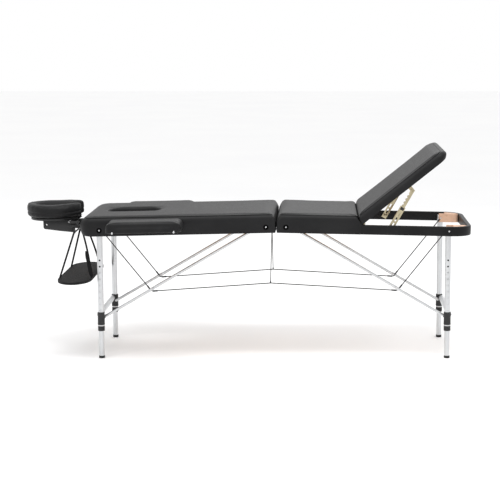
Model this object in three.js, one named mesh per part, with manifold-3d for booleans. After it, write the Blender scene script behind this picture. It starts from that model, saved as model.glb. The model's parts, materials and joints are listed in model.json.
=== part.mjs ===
// Portable folding massage table: two hinged halves on folding aluminium legs, a lifting
// backrest, plug-in armrests, a face cradle and a hanging arm sling. Millimetres, +Z up.
// +X runs from the head end to the foot end, and the floor is z = 0.
import * as THREE from "three";
import { mergeVertices } from "three/addons/utils/BufferGeometryUtils.js";
import Module from "manifold-3d";

const wasm = await Module();
wasm.setup();

// ---------------------------------------------------------------- driving dimensions
const degrees = THREE.MathUtils.degToRad;
const GAP = 0.3; // between neighbouring pieces

const HALF_LENGTH = 925; // hinge line to either end of the table top
const WIDTH = 600;
const HINGE_HEIGHT = 610; // fold axis above the floor
const CREST = degrees(1.2); // each half slopes down from the fold axis

const RAIL_BOTTOM = 2; // heights in a half are measured from the fold axis
const RAIL_TOP = 47;
const RAIL_THICKNESS = 20;
const RAIL_START = 4; // frame clears the fold axis by this much
const HEAD_CORNER = 55; // outer corner radius in plan, head end
const FOOT_CORNER = 100; // outer corner radius in plan, foot end
const DECK_THICKNESS = 6;
const TOP_HEIGHT = 94; // upholstery surface
const PAD_START = 1.5;
const MID_LENGTH = 401; // fixed part of the foot half's upholstery
const MID_LEAN = 18; // its end is this much shorter at the top

const FACE_HOLE = { x: -698, length: 252, width: 150 };

const LEG_Y = 245; // leg centre line from the middle of the table
const LEG_RADIUS = 14;
const LEG_BORE = 12.8;
const INNER_LEG_RADIUS = 12.4;
const INNER_LEG_BORE = 10.9;
const LEG_PIVOT_Z = 25;
const HEAD_LEG_X = 838;
const FOOT_LEG_X = 814;
const PIN_RADIUS = 4;
const SMALL_PIN = 3;
const RUNNING = 0.6; // radial clearance of an eye on its pin
const HOLE_PITCH = 30;
const FIRST_HOLE = 143; // below the leg pivot
const HOLE_COUNT = 9;
const BUTTON_HOLE = 3; // counted from 0
const INNER_LEG_TOP = 200; // below the leg pivot
const BRACKET_TOP = 394; // below the leg pivot
const BRACKET_BOTTOM = 455;
const COLLAR_TOP = 461;
const COLLAR_BOTTOM = 485;
const CROSSBAR = { drop: 410, out: 9.5, radius: 13, bore: 11.6 };

const BRACE_RADIUS = 7;
const UPPER_BRACE_Y = 205.5;
const LOWER_BRACE_Y = 221;
const BRACE_PIVOT_Z = 36;
const BRACE_FOOT_IN = 11; // lower brace pivot, inward of the leg axis
const HEAD_BRACE = { top: 56, foot: 195 }; // pivot distance from the fold axis; pivot height
const FOOT_BRACE = { top: 40, foot: 200 };
const CABLE_RADIUS = 1.5;
const CABLE_Y = 206;
const CABLE_MEET = { x: -30, z: 357 };

const BACK_AXIS = { x: 404, z: 40 };
const BACK_ANGLE = degrees(39.7); // backrest above its own half
const BACK_LIMIT = degrees(50); // the pad's hinge edge is cut back for this angle
const BACK_LENGTH = 521;
const BACK_BOARD = [7.5, 14];
const BACK_CORNER = 48;
const STRUT_FOOT = { x: 535.6, z: 24 };
const STRUT_HEAD = { u: 289.3, w: -17.4 }; // in the backrest's own frame

const ARMREST = { x0: -792, x1: -439, inner: 306, outer: 453, z0: 30, z1: 82 };
const PEG = { x: [-750, -466], z: 38, radius: 5, end: 268 };

const CRADLE_ROD = { y: 100, z: 30, radius: 6, x0: -988, x1: -860 };
const CRADLE_TILT = { x: -1003, z: 50 };
const CHEEK = [60, 82]; // inner and outer face of each side plate of the cradle's base
const PLATFORM_LUG = [83, 90];
const LEVER_Y = [109, 120];
const SLING_STRAP_Y = 100;
const CRADLE_PAD = { x: -1090, length: 284, width: 300, z0: 68.6, z1: 134 };
const SLING_ROD = { x: -983, z: -4 };
const SLING = {
  x: 8, // board's middle, from the rod that it hangs on
  halfLength: 80,
  straight: 190, // its sides are straight to here, and its ends are half ellipses
  reach: 320,
  board: 368, // above the floor
  strap: 4,
};

// ---------------------------------------------------------------- materials
function finish(color, roughness, metalness = 0) {
  return new THREE.MeshStandardMaterial({ color, roughness, metalness });
}
const VINYL = finish(0x2b2b2d, 0.45);
const PLYWOOD = finish(0xc9a27c, 0.7);
const HARDWOOD = finish(0xd8ab8c, 0.6);
const ALUMINIUM = finish(0xcfd1d3, 0.35, 0.9);
const STEEL = finish(0xa9abad, 0.35, 0.9);
const YELLOW_ZINC = finish(0xc9b98a, 0.35, 0.9);
const BLACK_PLASTIC = finish(0x161617, 0.55);
const CABLE = finish(0x2c2c2e, 0.5, 0.4);
const WEBBING = finish(0x1c1c1d, 0.85);

// ---------------------------------------------------------------- solids
function toSolid(geometry) {
  const bare = geometry.index ? geometry.toNonIndexed() : geometry.clone();
  for (const name of Object.keys(bare.attributes)) {
    if (name !== "position") bare.deleteAttribute(name);
  }
  const merged = mergeVertices(bare, 1e-4);
  const mesh = new wasm.Mesh({
    numProp: 3,
    vertProperties: new Float32Array(merged.attributes.position.array),
    triVerts: new Uint32Array(merged.index.array),
  });
  return new wasm.Manifold(mesh);
}

function toGeometry(solid) {
  const mesh = solid.getMesh();
  const geometry = new THREE.BufferGeometry();
  geometry.setAttribute("position", new THREE.BufferAttribute(new Float32Array(mesh.vertProperties), 3));
  geometry.setIndex(Array.from(mesh.triVerts));
  const flat = geometry.toNonIndexed();
  flat.computeVertexNormals();
  return flat;
}

const join = (...solids) => solids.reduce((whole, solid) => whole.add(solid));
const cut = (whole, ...tools) => tools.reduce((rest, tool) => rest.subtract(tool), whole);

function block(x0, x1, y0, y1, z0, z1) {
  const box = new THREE.BoxGeometry(Math.abs(x1 - x0), Math.abs(y1 - y0), Math.abs(z1 - z0));
  return toSolid(box.translate((x0 + x1) / 2, (y0 + y1) / 2, (z0 + z1) / 2));
}

function rod(from, to, radius, sides = 12) {
  const start = new THREE.Vector3(...from);
  const along = new THREE.Vector3(...to).sub(start);
  const cylinder = new THREE.CylinderGeometry(radius, radius, along.length(), sides);
  const turn = new THREE.Quaternion().setFromUnitVectors(
    new THREE.Vector3(0, 1, 0),
    along.clone().normalize(),
  );
  cylinder.applyQuaternion(turn).translate(...start.addScaledVector(along, 0.5).toArray());
  return toSolid(cylinder);
}

const rodAcross = (x, z, y0, y1, radius, sides = 12) => rod([x, y0, z], [x, y1, z], radius, sides);

// An outline in plan, raised from z0 to z1, with its edges rounded by "round".
function plate(shape, z0, z1, round = 0, steps = 2, curveSegments = 5) {
  const geometry = new THREE.ExtrudeGeometry(shape, {
    depth: z1 - z0 - 2 * round,
    bevelEnabled: round > 0,
    bevelThickness: round,
    bevelSize: round,
    bevelOffset: -round,
    bevelSegments: steps,
    curveSegments,
  });
  return toSolid(geometry.translate(0, 0, z0 + round));
}

// An outline in the XZ plane, spread from y0 to y1.
function profile(shape, y0, y1, curveSegments = 8) {
  const depth = Math.abs(y1 - y0);
  const geometry = new THREE.ExtrudeGeometry(shape, { depth, bevelEnabled: false, curveSegments });
  return toSolid(geometry.rotateX(Math.PI / 2).translate(0, Math.max(y0, y1), 0));
}

function polygon(points) {
  return new THREE.Shape(points.map(([x, y]) => new THREE.Vector2(x, y)));
}

// A rectangle in plan whose corners at x0 and at x1 have their own radii.
function roundedRectangle(x0, x1, halfWidth, radius0, radius1) {
  const shape = new THREE.Shape();
  shape.moveTo(x0 + radius0, -halfWidth);
  shape.lineTo(x1 - radius1, -halfWidth);
  shape.absarc(x1 - radius1, -halfWidth + radius1, radius1, -Math.PI / 2, 0);
  shape.absarc(x1 - radius1, halfWidth - radius1, radius1, 0, Math.PI / 2);
  shape.lineTo(x0 + radius0, halfWidth);
  shape.absarc(x0 + radius0, halfWidth - radius0, radius0, Math.PI / 2, Math.PI);
  shape.absarc(x0 + radius0, -halfWidth + radius0, radius0, Math.PI, 1.5 * Math.PI);
  return shape;
}

function stadium(x, length, width, grow) {
  const radius = width / 2 + grow;
  const reach = (length - width) / 2;
  const path = new THREE.Path();
  path.moveTo(x - reach, -radius);
  path.lineTo(x + reach, -radius);
  path.absarc(x + reach, 0, radius, -Math.PI / 2, Math.PI / 2);
  path.lineTo(x - reach, radius);
  path.absarc(x - reach, 0, radius, Math.PI / 2, 1.5 * Math.PI);
  return path;
}

function add(parent, name, solid, material) {
  const mesh = new THREE.Mesh(toGeometry(solid), material);
  mesh.name = name;
  parent.add(mesh);
}

// A round tube along Z between two heights.
function tube(z0, z1, radius, bore, sides = 16) {
  return cut(rod([0, 0, z0], [0, 0, z1], radius, sides), rod([0, 0, z0 - 1], [0, 0, z1 + 1], bore, sides));
}

const SIDES = [["near", -1], ["far", 1]];
const HALVES = [
  { name: "head", sign: -1, legX: HEAD_LEG_X, brace: HEAD_BRACE, corner: HEAD_CORNER },
  { name: "foot", sign: 1, legX: FOOT_LEG_X, brace: FOOT_BRACE, corner: FOOT_CORNER },
];

// A point of a half's own frame in the frame of the whole table.
function onFloor(half, x, z) {
  const slope = half.sign * CREST;
  return {
    x: x * Math.cos(slope) + z * Math.sin(slope),
    z: HINGE_HEIGHT - x * Math.sin(slope) + z * Math.cos(slope),
  };
}

// ---------------------------------------------------------------- frame of a half
// Side rails carry the bolts that the leg tops, the upper braces and the backrest turn on.
function sideRail(half, side) {
  const [outer, inner] = [side * WIDTH / 2, side * (WIDTH / 2 - RAIL_THICKNESS)];
  const end = half.sign * (HALF_LENGTH - half.corner - GAP);
  const board = block(half.sign * RAIL_START, end, inner, outer, RAIL_BOTTOM, RAIL_TOP);
  const legBolt = rodAcross(half.sign * half.legX, LEG_PIVOT_Z, inner, side * (CABLE_Y - 4), PIN_RADIUS);
  const braceBolt = rodAcross(
    half.sign * half.brace.top, BRACE_PIVOT_Z, inner, side * (UPPER_BRACE_Y - BRACE_RADIUS - 1), PIN_RADIUS,
  );
  let rail = join(board, legBolt, braceBolt);
  if (half.sign < 0) {
    rail = cut(rail, ...PEG.x.map((x) => rodAcross(x, PEG.z, inner - side, outer + side, PEG.radius + GAP)));
  } else {
    const hingePin = rodAcross(BACK_AXIS.x, BACK_AXIS.z, inner, side * 268, SMALL_PIN);
    const strutPin = rodAcross(STRUT_FOOT.x, STRUT_FOOT.z, inner, side * 262, SMALL_PIN);
    rail = join(rail, hingePin, strutPin);
  }
  return rail;
}

// The end rail runs round both corners and meets the side rails.
function endRail(half) {
  const start = half.sign * (HALF_LENGTH - half.corner);
  const side = WIDTH / 2 - half.corner;
  const tip = half.sign > 0 ? 0 : Math.PI;
  const inside = half.corner - RAIL_THICKNESS;
  const shape = new THREE.Shape();
  shape.moveTo(start, -WIDTH / 2);
  shape.absarc(start, -side, half.corner, -Math.PI / 2, half.sign > 0 ? 0 : -Math.PI, half.sign < 0);
  shape.absarc(start, side, half.corner, tip, Math.PI / 2, half.sign < 0);
  shape.lineTo(start, WIDTH / 2 - RAIL_THICKNESS);
  shape.absarc(start, side, inside, Math.PI / 2, tip, half.sign > 0);
  shape.absarc(start, -side, inside, half.sign > 0 ? 0 : -Math.PI, -Math.PI / 2, half.sign > 0);
  return plate(shape, RAIL_BOTTOM, RAIL_TOP);
}

function hingeRail(half) {
  const reach = WIDTH / 2 - RAIL_THICKNESS - GAP;
  const x0 = half.sign * RAIL_START;
  return block(x0, x0 + half.sign * RAIL_THICKNESS, -reach, reach, RAIL_BOTTOM, RAIL_TOP);
}

// One leaf of the fold hinge, with every other knuckle.
function hingeLeaf(half) {
  const [leafStart, leafEnd, leafReach, knuckle] = [4, 24, 199, 79];
  let leaf = block(half.sign * leafStart, half.sign * leafEnd, -leafReach, leafReach, GAP, RAIL_BOTTOM - GAP);
  const middles = half.sign < 0 ? [-159, 0, 159] : [-79.6, 79.6];
  for (const middle of middles) {
    const [y0, y1] = [middle - knuckle / 2, middle + knuckle / 2];
    leaf = join(
      leaf,
      rodAcross(0, 0, y0, y1, 3, 12),
      block(0, half.sign * (leafStart + 1), y0, y1, GAP, RAIL_BOTTOM - GAP),
    );
  }
  return leaf;
}

function addFrame(group, half) {
  for (const [sideName, side] of SIDES) {
    add(group, `${half.name}_rail_${sideName}`, sideRail(half, side), VINYL);
  }
  add(group, `${half.name}_hinge_rail`, hingeRail(half), PLYWOOD);
  add(group, `${half.name}_hinge_leaf`, hingeLeaf(half), STEEL);
}

// ---------------------------------------------------------------- upholstery
const deckZ = [RAIL_TOP + GAP, RAIL_TOP + GAP + DECK_THICKNESS];
const padZ = [deckZ[1] + GAP, TOP_HEIGHT];

function pad(x0, x1, radius0, radius1, hole) {
  const shape = roundedRectangle(x0, x1, WIDTH / 2, radius0, radius1);
  if (hole) shape.holes.push(hole);
  return plate(shape, padZ[0], padZ[1], 10);
}

// The end beside the backrest leans away from it, because the raised backrest presses on it.
function midPad() {
  const side = polygon([
    [0, padZ[0] - 1], [MID_LENGTH, padZ[0] - 1], [MID_LENGTH, padZ[0]],
    [MID_LENGTH - MID_LEAN, padZ[1]], [MID_LENGTH - MID_LEAN, padZ[1] + 1], [0, padZ[1] + 1],
  ]);
  return pad(PAD_START, MID_LENGTH, 24, 14).intersect(profile(side, -WIDTH / 2 - 1, WIDTH / 2 + 1));
}

function addHeadTop(group) {
  const deck = roundedRectangle(-HALF_LENGTH + 1, -RAIL_START, WIDTH / 2 - 1, HEAD_CORNER - 1, 6);
  deck.holes.push(stadium(FACE_HOLE.x, FACE_HOLE.length, FACE_HOLE.width, 6));
  add(group, "main_deck", plate(deck, ...deckZ), PLYWOOD);
  const hole = stadium(FACE_HOLE.x, FACE_HOLE.length, FACE_HOLE.width, 0);
  add(group, "main_cushion", pad(-HALF_LENGTH, -PAD_START, HEAD_CORNER, 24, hole), VINYL);
  let end = endRail(HALVES[0]);
  for (const [, side] of SIDES) {
    const y = side * CRADLE_ROD.y;
    end = cut(end, rod([-HALF_LENGTH - 1, y, CRADLE_ROD.z], [CRADLE_ROD.x1, y, CRADLE_ROD.z], CRADLE_ROD.radius + GAP));
  }
  add(group, "head_end_rail", end, VINYL);
}

function addFootTop(group) {
  const deck = roundedRectangle(RAIL_START, MID_LENGTH - 7, WIDTH / 2 - 1, 6, 6);
  add(group, "mid_deck", plate(deck, ...deckZ), PLYWOOD);
  add(group, "mid_cushion", midPad(), VINYL);
  add(group, "foot_end_bow", endRail(HALVES[1]), VINYL);
  for (const [sideName, side] of SIDES) {
    add(group, `corner_block_${sideName}`, cornerBlock(side), HARDWOOD);
  }
}

// A hardwood block fills the inside of each foot corner.
function cornerBlock(side) {
  const [x0, y0] = [838, 213];
  const middle = { x: HALF_LENGTH - FOOT_CORNER, y: WIDTH / 2 - FOOT_CORNER };
  const radius = FOOT_CORNER - RAIL_THICKNESS - GAP;
  const startAngle = Math.asin((y0 - middle.y) / radius);
  const endAngle = Math.acos((x0 - middle.x) / radius);
  const shape = new THREE.Shape();
  shape.moveTo(x0, side * y0);
  shape.absarc(middle.x, side * middle.y, radius, side * startAngle, side * endAngle, side < 0);
  return plate(shape, RAIL_BOTTOM + 2, RAIL_TOP - 2);
}

// ---------------------------------------------------------------- backrest
function backPad() {
  const [bottom, top, edge] = [BACK_BOARD[1] + GAP, TOP_HEIGHT - BACK_AXIS.z, 9];
  const cutBack = (w) => 3 + w * Math.tan(BACK_LIMIT);
  const side = polygon([
    [cutBack(bottom), bottom], [BACK_LENGTH - edge, bottom], [BACK_LENGTH, bottom + edge],
    [BACK_LENGTH, top - edge], [BACK_LENGTH - edge, top], [cutBack(top - edge) + edge, top],
    [cutBack(top - edge), top - edge],
  ]);
  const outline = plate(roundedRectangle(0, BACK_LENGTH, WIDTH / 2, 10, BACK_CORNER), bottom - 1, top + 1);
  return profile(side, -WIDTH / 2, WIDTH / 2).intersect(outline);
}

// The board carries a hinge ear and a strut lug at each side.
function backBoard() {
  const outline = roundedRectangle(3, BACK_LENGTH - 1, WIDTH / 2 - 1, 4, BACK_CORNER - 1);
  let board = plate(outline, ...BACK_BOARD);
  for (const [, side] of SIDES) {
    const [ear0, ear1] = [side * 270, side * 278];
    const ear = join(
      rodAcross(0, 0, ear0, ear1, 7, 16),
      block(3, 20, ear0, ear1, -3, BACK_BOARD[0] + 1),
      block(0, 6, ear0, ear1, -3, 3),
    );
    const lug = block(STRUT_HEAD.u - 9, STRUT_HEAD.u + 9, side * 260, side * 263.5, STRUT_HEAD.w - 9, BACK_BOARD[0] + 1);
    board = join(board, cut(ear, rodAcross(0, 0, ear0 - side, ear1 + side, SMALL_PIN + GAP)), lug);
  }
  return board;
}

function addBackrest(group) {
  const backrest = new THREE.Group();
  backrest.position.set(BACK_AXIS.x, 0, BACK_AXIS.z);
  backrest.rotation.y = -BACK_ANGLE;
  add(backrest, "backrest_board", backBoard(), PLYWOOD);
  add(backrest, "backrest_cushion", backPad(), VINYL);
  group.add(backrest);

  const [c, s] = [Math.cos(BACK_ANGLE), Math.sin(BACK_ANGLE)];
  const head = {
    x: BACK_AXIS.x + STRUT_HEAD.u * c - STRUT_HEAD.w * s,
    z: BACK_AXIS.z + STRUT_HEAD.u * s + STRUT_HEAD.w * c,
  };
  const length = Math.hypot(head.x - STRUT_FOOT.x, head.z - STRUT_FOOT.z);
  const strut = new THREE.Group();
  strut.position.set(STRUT_FOOT.x, 0, STRUT_FOOT.z);
  strut.rotation.y = -Math.atan2(head.z - STRUT_FOOT.z, head.x - STRUT_FOOT.x);
  group.add(strut);
  for (const [sideName, side] of SIDES) {
    add(strut, `strut_channel_${sideName}`, strutChannel(side), YELLOW_ZINC);
    add(strut, `strut_bar_${sideName}`, strutBar(side, length), YELLOW_ZINC);
  }
}

// The channel opens towards the middle of the table; its web turns on the rail's pin.
function strutChannel(side) {
  const [outer, inner, halfDepth, wall] = [side * 277, side * 264, 12.5, 1.6];
  const whole = block(-13, 125, outer, inner, -halfDepth, halfDepth);
  const hollow = block(-14, 126, side * (277 - wall), inner - side, wall - halfDepth, halfDepth - wall);
  return cut(whole, hollow, rodAcross(0, 0, inner - side, outer + side, SMALL_PIN + GAP));
}

function strutBar(side, length) {
  const [y0, y1, halfDepth] = [side * 266, side * 273, 8.5];
  const bar = join(
    block(68, length, y0, y1, -halfDepth, halfDepth),
    rodAcross(length, 0, y0, y1, halfDepth),
  );
  return cut(bar, rodAcross(length, 0, y0 - side, y1 + side, SMALL_PIN + GAP));
}

// ---------------------------------------------------------------- legs
// In a leg's own frame z = 0 is its pivot, and -X of a head leg points away from the fold axis.
function upperLeg(side) {
  const bottom = -BRACKET_BOTTOM - 1;
  let leg = tube(bottom, 14, LEG_RADIUS, LEG_BORE);
  leg = cut(leg, rod([0, -20, 0], [0, 20, 0], PIN_RADIUS + GAP));
  for (let i = 0; i < HOLE_COUNT; i += 1) {
    const z = -FIRST_HOLE - HOLE_PITCH * i;
    leg = cut(leg, rod([0, 0, z], [0, side * 20, z], 3.6, 8));
  }
  return leg;
}

function innerLeg(side, floor) {
  const footTop = -floor + 12;
  const shaft = tube(footTop - 6, -INNER_LEG_TOP, INNER_LEG_RADIUS, INNER_LEG_BORE);
  const z = -FIRST_HOLE - HOLE_PITCH * BUTTON_HOLE;
  const foot = rod([0, 0, -floor], [0, 0, footTop], 13.6, 16);
  return cut(join(shaft, foot), rod([0, 0, z], [0, side * 20, z], 3.3, 8));
}

// Pressed flush, so that the inner leg can slide; its flange stays inside the bore.
function snapButton(side) {
  const z = -FIRST_HOLE - HOLE_PITCH * BUTTON_HOLE;
  const head = rod([0, side * 6, z], [0, side * 12, z], SMALL_PIN, 8);
  const flange = rod([0, side * 4.2, z], [0, side * 6.2, z], 4.8, 8);
  return join(head, flange);
}

// A moulded sleeve joins leg, crossbar and brace, and its lower collar guides the inner leg.
function legBracket(half, side) {
  const outline = [
    [LEG_RADIUS + GAP, -BRACKET_TOP], [LEG_RADIUS + GAP, -BRACKET_BOTTOM - 1 - GAP],
    [LEG_BORE, -BRACKET_BOTTOM - 1 - GAP], [LEG_BORE, -COLLAR_BOTTOM], [16.4, -COLLAR_BOTTOM],
    [16.4, -COLLAR_TOP], [15.6, -COLLAR_TOP], [15.6, -BRACKET_BOTTOM], [17.3, -BRACKET_BOTTOM],
    [17.3, -BRACKET_TOP], [LEG_RADIUS + GAP, -BRACKET_TOP],
  ].map(([r, z]) => new THREE.Vector2(r, z));
  const sleeve = toSolid(new THREE.LatheGeometry(outline, 16).rotateX(Math.PI / 2));
  const inward = -half.sign * BRACE_FOOT_IN;
  const z = half.brace.foot - half.pivot.z;
  const boss = rod([inward, -side * 10, z], [inward, -side * 16.8, z], 6.5);
  const pin = rod([inward, -side * 16, z], [inward, -side * 31, z], SMALL_PIN);
  const room = rod([0, 0, -BRACKET_BOTTOM - 1 - GAP], [0, 0, 0], LEG_RADIUS + GAP, 16);
  return join(sleeve, cut(join(boss, pin), room));
}

function crossbar(half) {
  const reach = LEG_Y - 17.3 - GAP;
  const [x, z] = [half.sign * CROSSBAR.out, -CROSSBAR.drop];
  return cut(
    rodAcross(x, z, -reach, reach, CROSSBAR.radius, 16),
    rodAcross(x, z, -reach - 1, reach + 1, CROSSBAR.bore, 16),
  );
}

function addLegs(group, half) {
  for (const [sideName, side] of SIDES) {
    const leg = new THREE.Group();
    leg.position.set(half.pivot.x, side * LEG_Y, half.pivot.z);
    add(leg, `${half.name}_leg_${sideName}`, upperLeg(side), ALUMINIUM);
    add(leg, `${half.name}_bracket_${sideName}`, legBracket(half, side), BLACK_PLASTIC);
    add(leg, `${half.name}_inner_leg_${sideName}`, innerLeg(side, half.pivot.z), ALUMINIUM);
    add(leg, `${half.name}_button_${sideName}`, snapButton(side), STEEL);
    group.add(leg);
  }
  const bar = new THREE.Group();
  bar.position.set(half.pivot.x, 0, half.pivot.z);
  add(bar, `${half.name}_crossbar`, crossbar(half), ALUMINIUM);
  group.add(bar);
}

// ---------------------------------------------------------------- braces and cables
// The braces are straight when the table stands and double back on themselves when it folds.
function linkage(half) {
  const top = onFloor(half, half.sign * half.brace.top, BRACE_PIVOT_Z);
  const foot = { x: half.pivot.x - half.sign * BRACE_FOOT_IN, z: half.brace.foot };
  const open = Math.hypot(top.x - foot.x, top.z - foot.z);
  const folded = half.legX - half.brace.top - (half.pivot.z - half.brace.foot);
  const upper = (open + folded) / 2;
  const part = upper / open;
  const elbow = { x: top.x + (foot.x - top.x) * part, z: top.z + (foot.z - top.z) * part };
  return { top, foot, elbow };
}

// A hollow bar from one eye to the other, along +X from its first eye.
function brace(length, y, firstBore, lastBore) {
  const wall = 1.2;
  const [y0, y1] = [y - BRACE_RADIUS, y + BRACE_RADIUS];
  const bar = rod([0, y, 0], [length, y, 0], BRACE_RADIUS);
  const eyes = [0, length].map((x) => rodAcross(x, 0, y0, y1, 8));
  const hollow = rod([12, y, 0], [length - 12, y, 0], BRACE_RADIUS - wall);
  const vent = rod([length / 2, y, 0], [length / 2, y, -BRACE_RADIUS - 1], 1.5, 8);
  const bores = [[0, firstBore], [length, lastBore]].filter(([, bore]) => bore)
    .map(([x, bore]) => rodAcross(x, 0, y0 - 1, y1 + 1, bore, 8));
  return cut(join(bar, ...eyes), hollow, vent, ...bores);
}

function addBraces(group, half) {
  const { top, foot, elbow } = linkage(half);
  const pieces = [
    ["upper", top, UPPER_BRACE_Y, PIN_RADIUS + RUNNING],
    ["lower", foot, LOWER_BRACE_Y, SMALL_PIN + RUNNING],
  ];
  for (const [name, start, y, bore] of pieces) {
    const holder = new THREE.Group();
    holder.position.set(start.x, 0, start.z);
    holder.rotation.y = -Math.atan2(elbow.z - start.z, elbow.x - start.x);
    const length = Math.hypot(elbow.x - start.x, elbow.z - start.z);
    for (const [sideName, side] of SIDES) {
      add(holder, `${half.name}_${name}_brace_${sideName}`, brace(length, side * y, bore, 2.6), ALUMINIUM);
    }
    group.add(holder);
  }
}

function cableThrough(points) {
  return join(...points.slice(1).map((end, i) => rod(points[i], end, CABLE_RADIUS, 8)));
}

// From the leg bolt down round the elbow, then level to the middle of the table.
function sideCable(half, side) {
  const { elbow } = linkage(half);
  const out = half.sign;
  const points = [
    [half.pivot.x - out * 5, half.pivot.z - 6],
    [elbow.x + out * 10.5, elbow.z - 1],
    [elbow.x + out * 6, elbow.z - 9.5],
    [elbow.x - out * 3, elbow.z - 11.5],
    [CABLE_MEET.x + out * 0.4, CABLE_MEET.z],
  ];
  return cableThrough(points.map(([x, z]) => [x, side * CABLE_Y, z]));
}

// Two strands hang from the middle of the head hinge rail and hold up the level cables.
function centreCable() {
  const hang = { x: -28, z: HINGE_HEIGHT - 5 };
  const strand = (side) => [CABLE_MEET.x, side * (CABLE_Y - 1), CABLE_MEET.z + 4];
  const middle = [hang.x, 0, hang.z];
  return cableThrough([strand(-1), middle, strand(1)]);
}

// ---------------------------------------------------------------- accessories
function armrest(side) {
  const { x0, x1, inner, outer, z0, z1 } = ARMREST;
  const corner = 30;
  const shape = new THREE.Shape();
  shape.moveTo(x0, side * inner);
  shape.lineTo(x1, side * inner);
  shape.absarc(x1 - corner, side * (outer - corner), corner, 0, side * Math.PI / 2, side < 0);
  shape.absarc(x0 + corner, side * (outer - corner), corner, side * Math.PI / 2, side * Math.PI, side < 0);
  const pegs = PEG.x.map((x) => rodAcross(x, PEG.z, side * PEG.end, side * (inner + 10), PEG.radius));
  return join(plate(shape, z0, z1, 5, 2), ...pegs);
}

// A horseshoe in plan, open towards the table.
function horseshoe(inset) {
  const { x, length, width } = CRADLE_PAD;
  const [outerX, outerY] = [length / 2 - inset, width / 2 - inset];
  const [holeX, holeY] = [92 + inset, 56 + inset];
  const mouth = 34 + inset;
  const open = x + outerX * 0.96;
  const shape = new THREE.Shape();
  const startAngle = 0.42;
  shape.absellipse(x, 0, outerX, outerY, startAngle, 2 * Math.PI - startAngle);
  const lip = Math.asin(mouth / holeY);
  shape.lineTo(open, -mouth);
  shape.absellipse(x, 0, holeX, holeY, 2 * Math.PI - lip, lip, true);
  shape.lineTo(open, mouth);
  return shape;
}

// Two cheeks on a crossbeam, with a rod at each side that plugs into the head end rail.
function cradleBase() {
  const [back, front] = [-1154, -985];
  const cheekShape = polygon([
    [front, -6], [front, 46], [-1015, 57], [back + 4, 57], [back, 18], [back + 6, 13],
  ]);
  const beamReach = CRADLE_ROD.y + 8;
  const beam = block(front - 15, front, -beamReach, beamReach, 20, 38);
  let base = join(beam, block(-1120, -1090, -CHEEK[1], CHEEK[1], 20, 30));
  for (const [, hand] of SIDES) {
    const y = hand * CRADLE_ROD.y;
    const cheek = profile(cheekShape, hand * CHEEK[0], hand * CHEEK[1]);
    const hole = rodAcross(back + 20, 34, hand * (CHEEK[0] - 1), hand * (CHEEK[1] + 1), 5);
    const pinEnd = hand < 0 ? LEVER_Y[1] : PLATFORM_LUG[1];
    base = join(
      base,
      cut(cheek, hole),
      rod([CRADLE_ROD.x0, y, CRADLE_ROD.z], [CRADLE_ROD.x1, y, CRADLE_ROD.z], CRADLE_ROD.radius),
      rodAcross(CRADLE_TILT.x, CRADLE_TILT.z, hand * (CHEEK[1] - 2), hand * (pinEnd + 2), PIN_RADIUS),
    );
  }
  const slingReach = SLING_STRAP_Y + 6;
  return join(base, rodAcross(SLING_ROD.x, SLING_ROD.z, -slingReach, slingReach, PIN_RADIUS));
}

function cradlePlatform() {
  const [lug0, lug1] = PLATFORM_LUG;
  const { x, z } = CRADLE_TILT;
  let platform = plate(horseshoe(14), 58, CRADLE_PAD.z0 - GAP, 0, 1, 11);
  for (const [, hand] of SIDES) {
    const lug = join(
      rodAcross(x, z, hand * lug0, hand * lug1, 8),
      block(x - 8, x + 8, hand * lug0, hand * lug1, z, 62),
    );
    platform = join(platform, cut(lug, rodAcross(x, z, hand * (lug0 - 1), hand * (lug1 + 1), PIN_RADIUS + GAP)));
  }
  return platform;
}

function cradleLever() {
  const { x, z } = CRADLE_TILT;
  const [y0, y1] = [-LEVER_Y[0], -LEVER_Y[1]];
  const hub = rodAcross(x, z, y0, y1, 7);
  const handle = profile(polygon([[x, z - 7], [x + 46, z - 5], [x + 50, z + 4], [x, z + 6]]), y0, y1);
  return cut(join(hub, handle), rodAcross(x, z, y0 + 1, y1 - 1, PIN_RADIUS + GAP));
}

function addCradle(group) {
  const pads = plate(horseshoe(0), CRADLE_PAD.z0, CRADLE_PAD.z1, 16, 2, 11);
  add(group, "cradle_base", cradleBase(), BLACK_PLASTIC);
  add(group, "cradle_platform", cradlePlatform(), BLACK_PLASTIC);
  add(group, "cradle_cushion", pads, VINYL);
  add(group, "cradle_lever", cradleLever(), BLACK_PLASTIC);
}

// A padded board on four straps, which swings on the rod under the cradle's base.
function armSling(rodHeight) {
  const { x: middle, halfLength, straight, reach } = SLING;
  const drop = SLING.board - rodHeight;
  const shape = new THREE.Shape();
  shape.moveTo(middle + halfLength, -straight);
  shape.lineTo(middle + halfLength, straight);
  shape.absellipse(middle, straight, halfLength, reach - straight, 0, Math.PI);
  shape.lineTo(middle - halfLength, -straight);
  shape.absellipse(middle, -straight, halfLength, reach - straight, Math.PI, 2 * Math.PI);
  let sling = plate(shape, drop - 6, drop + 6, 3, 1, 10);
  const straps = [[-5, middle - halfLength + 12], [37, middle + halfLength - 12]];
  for (const [top, bottom] of straps) {
    for (const [, side] of SIDES) {
      sling = join(sling, rod(
        [top, side * SLING_STRAP_Y, -12], [bottom, side * (straight - 4), drop + 3], SLING.strap, 8,
      ));
    }
  }
  return sling;
}

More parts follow.
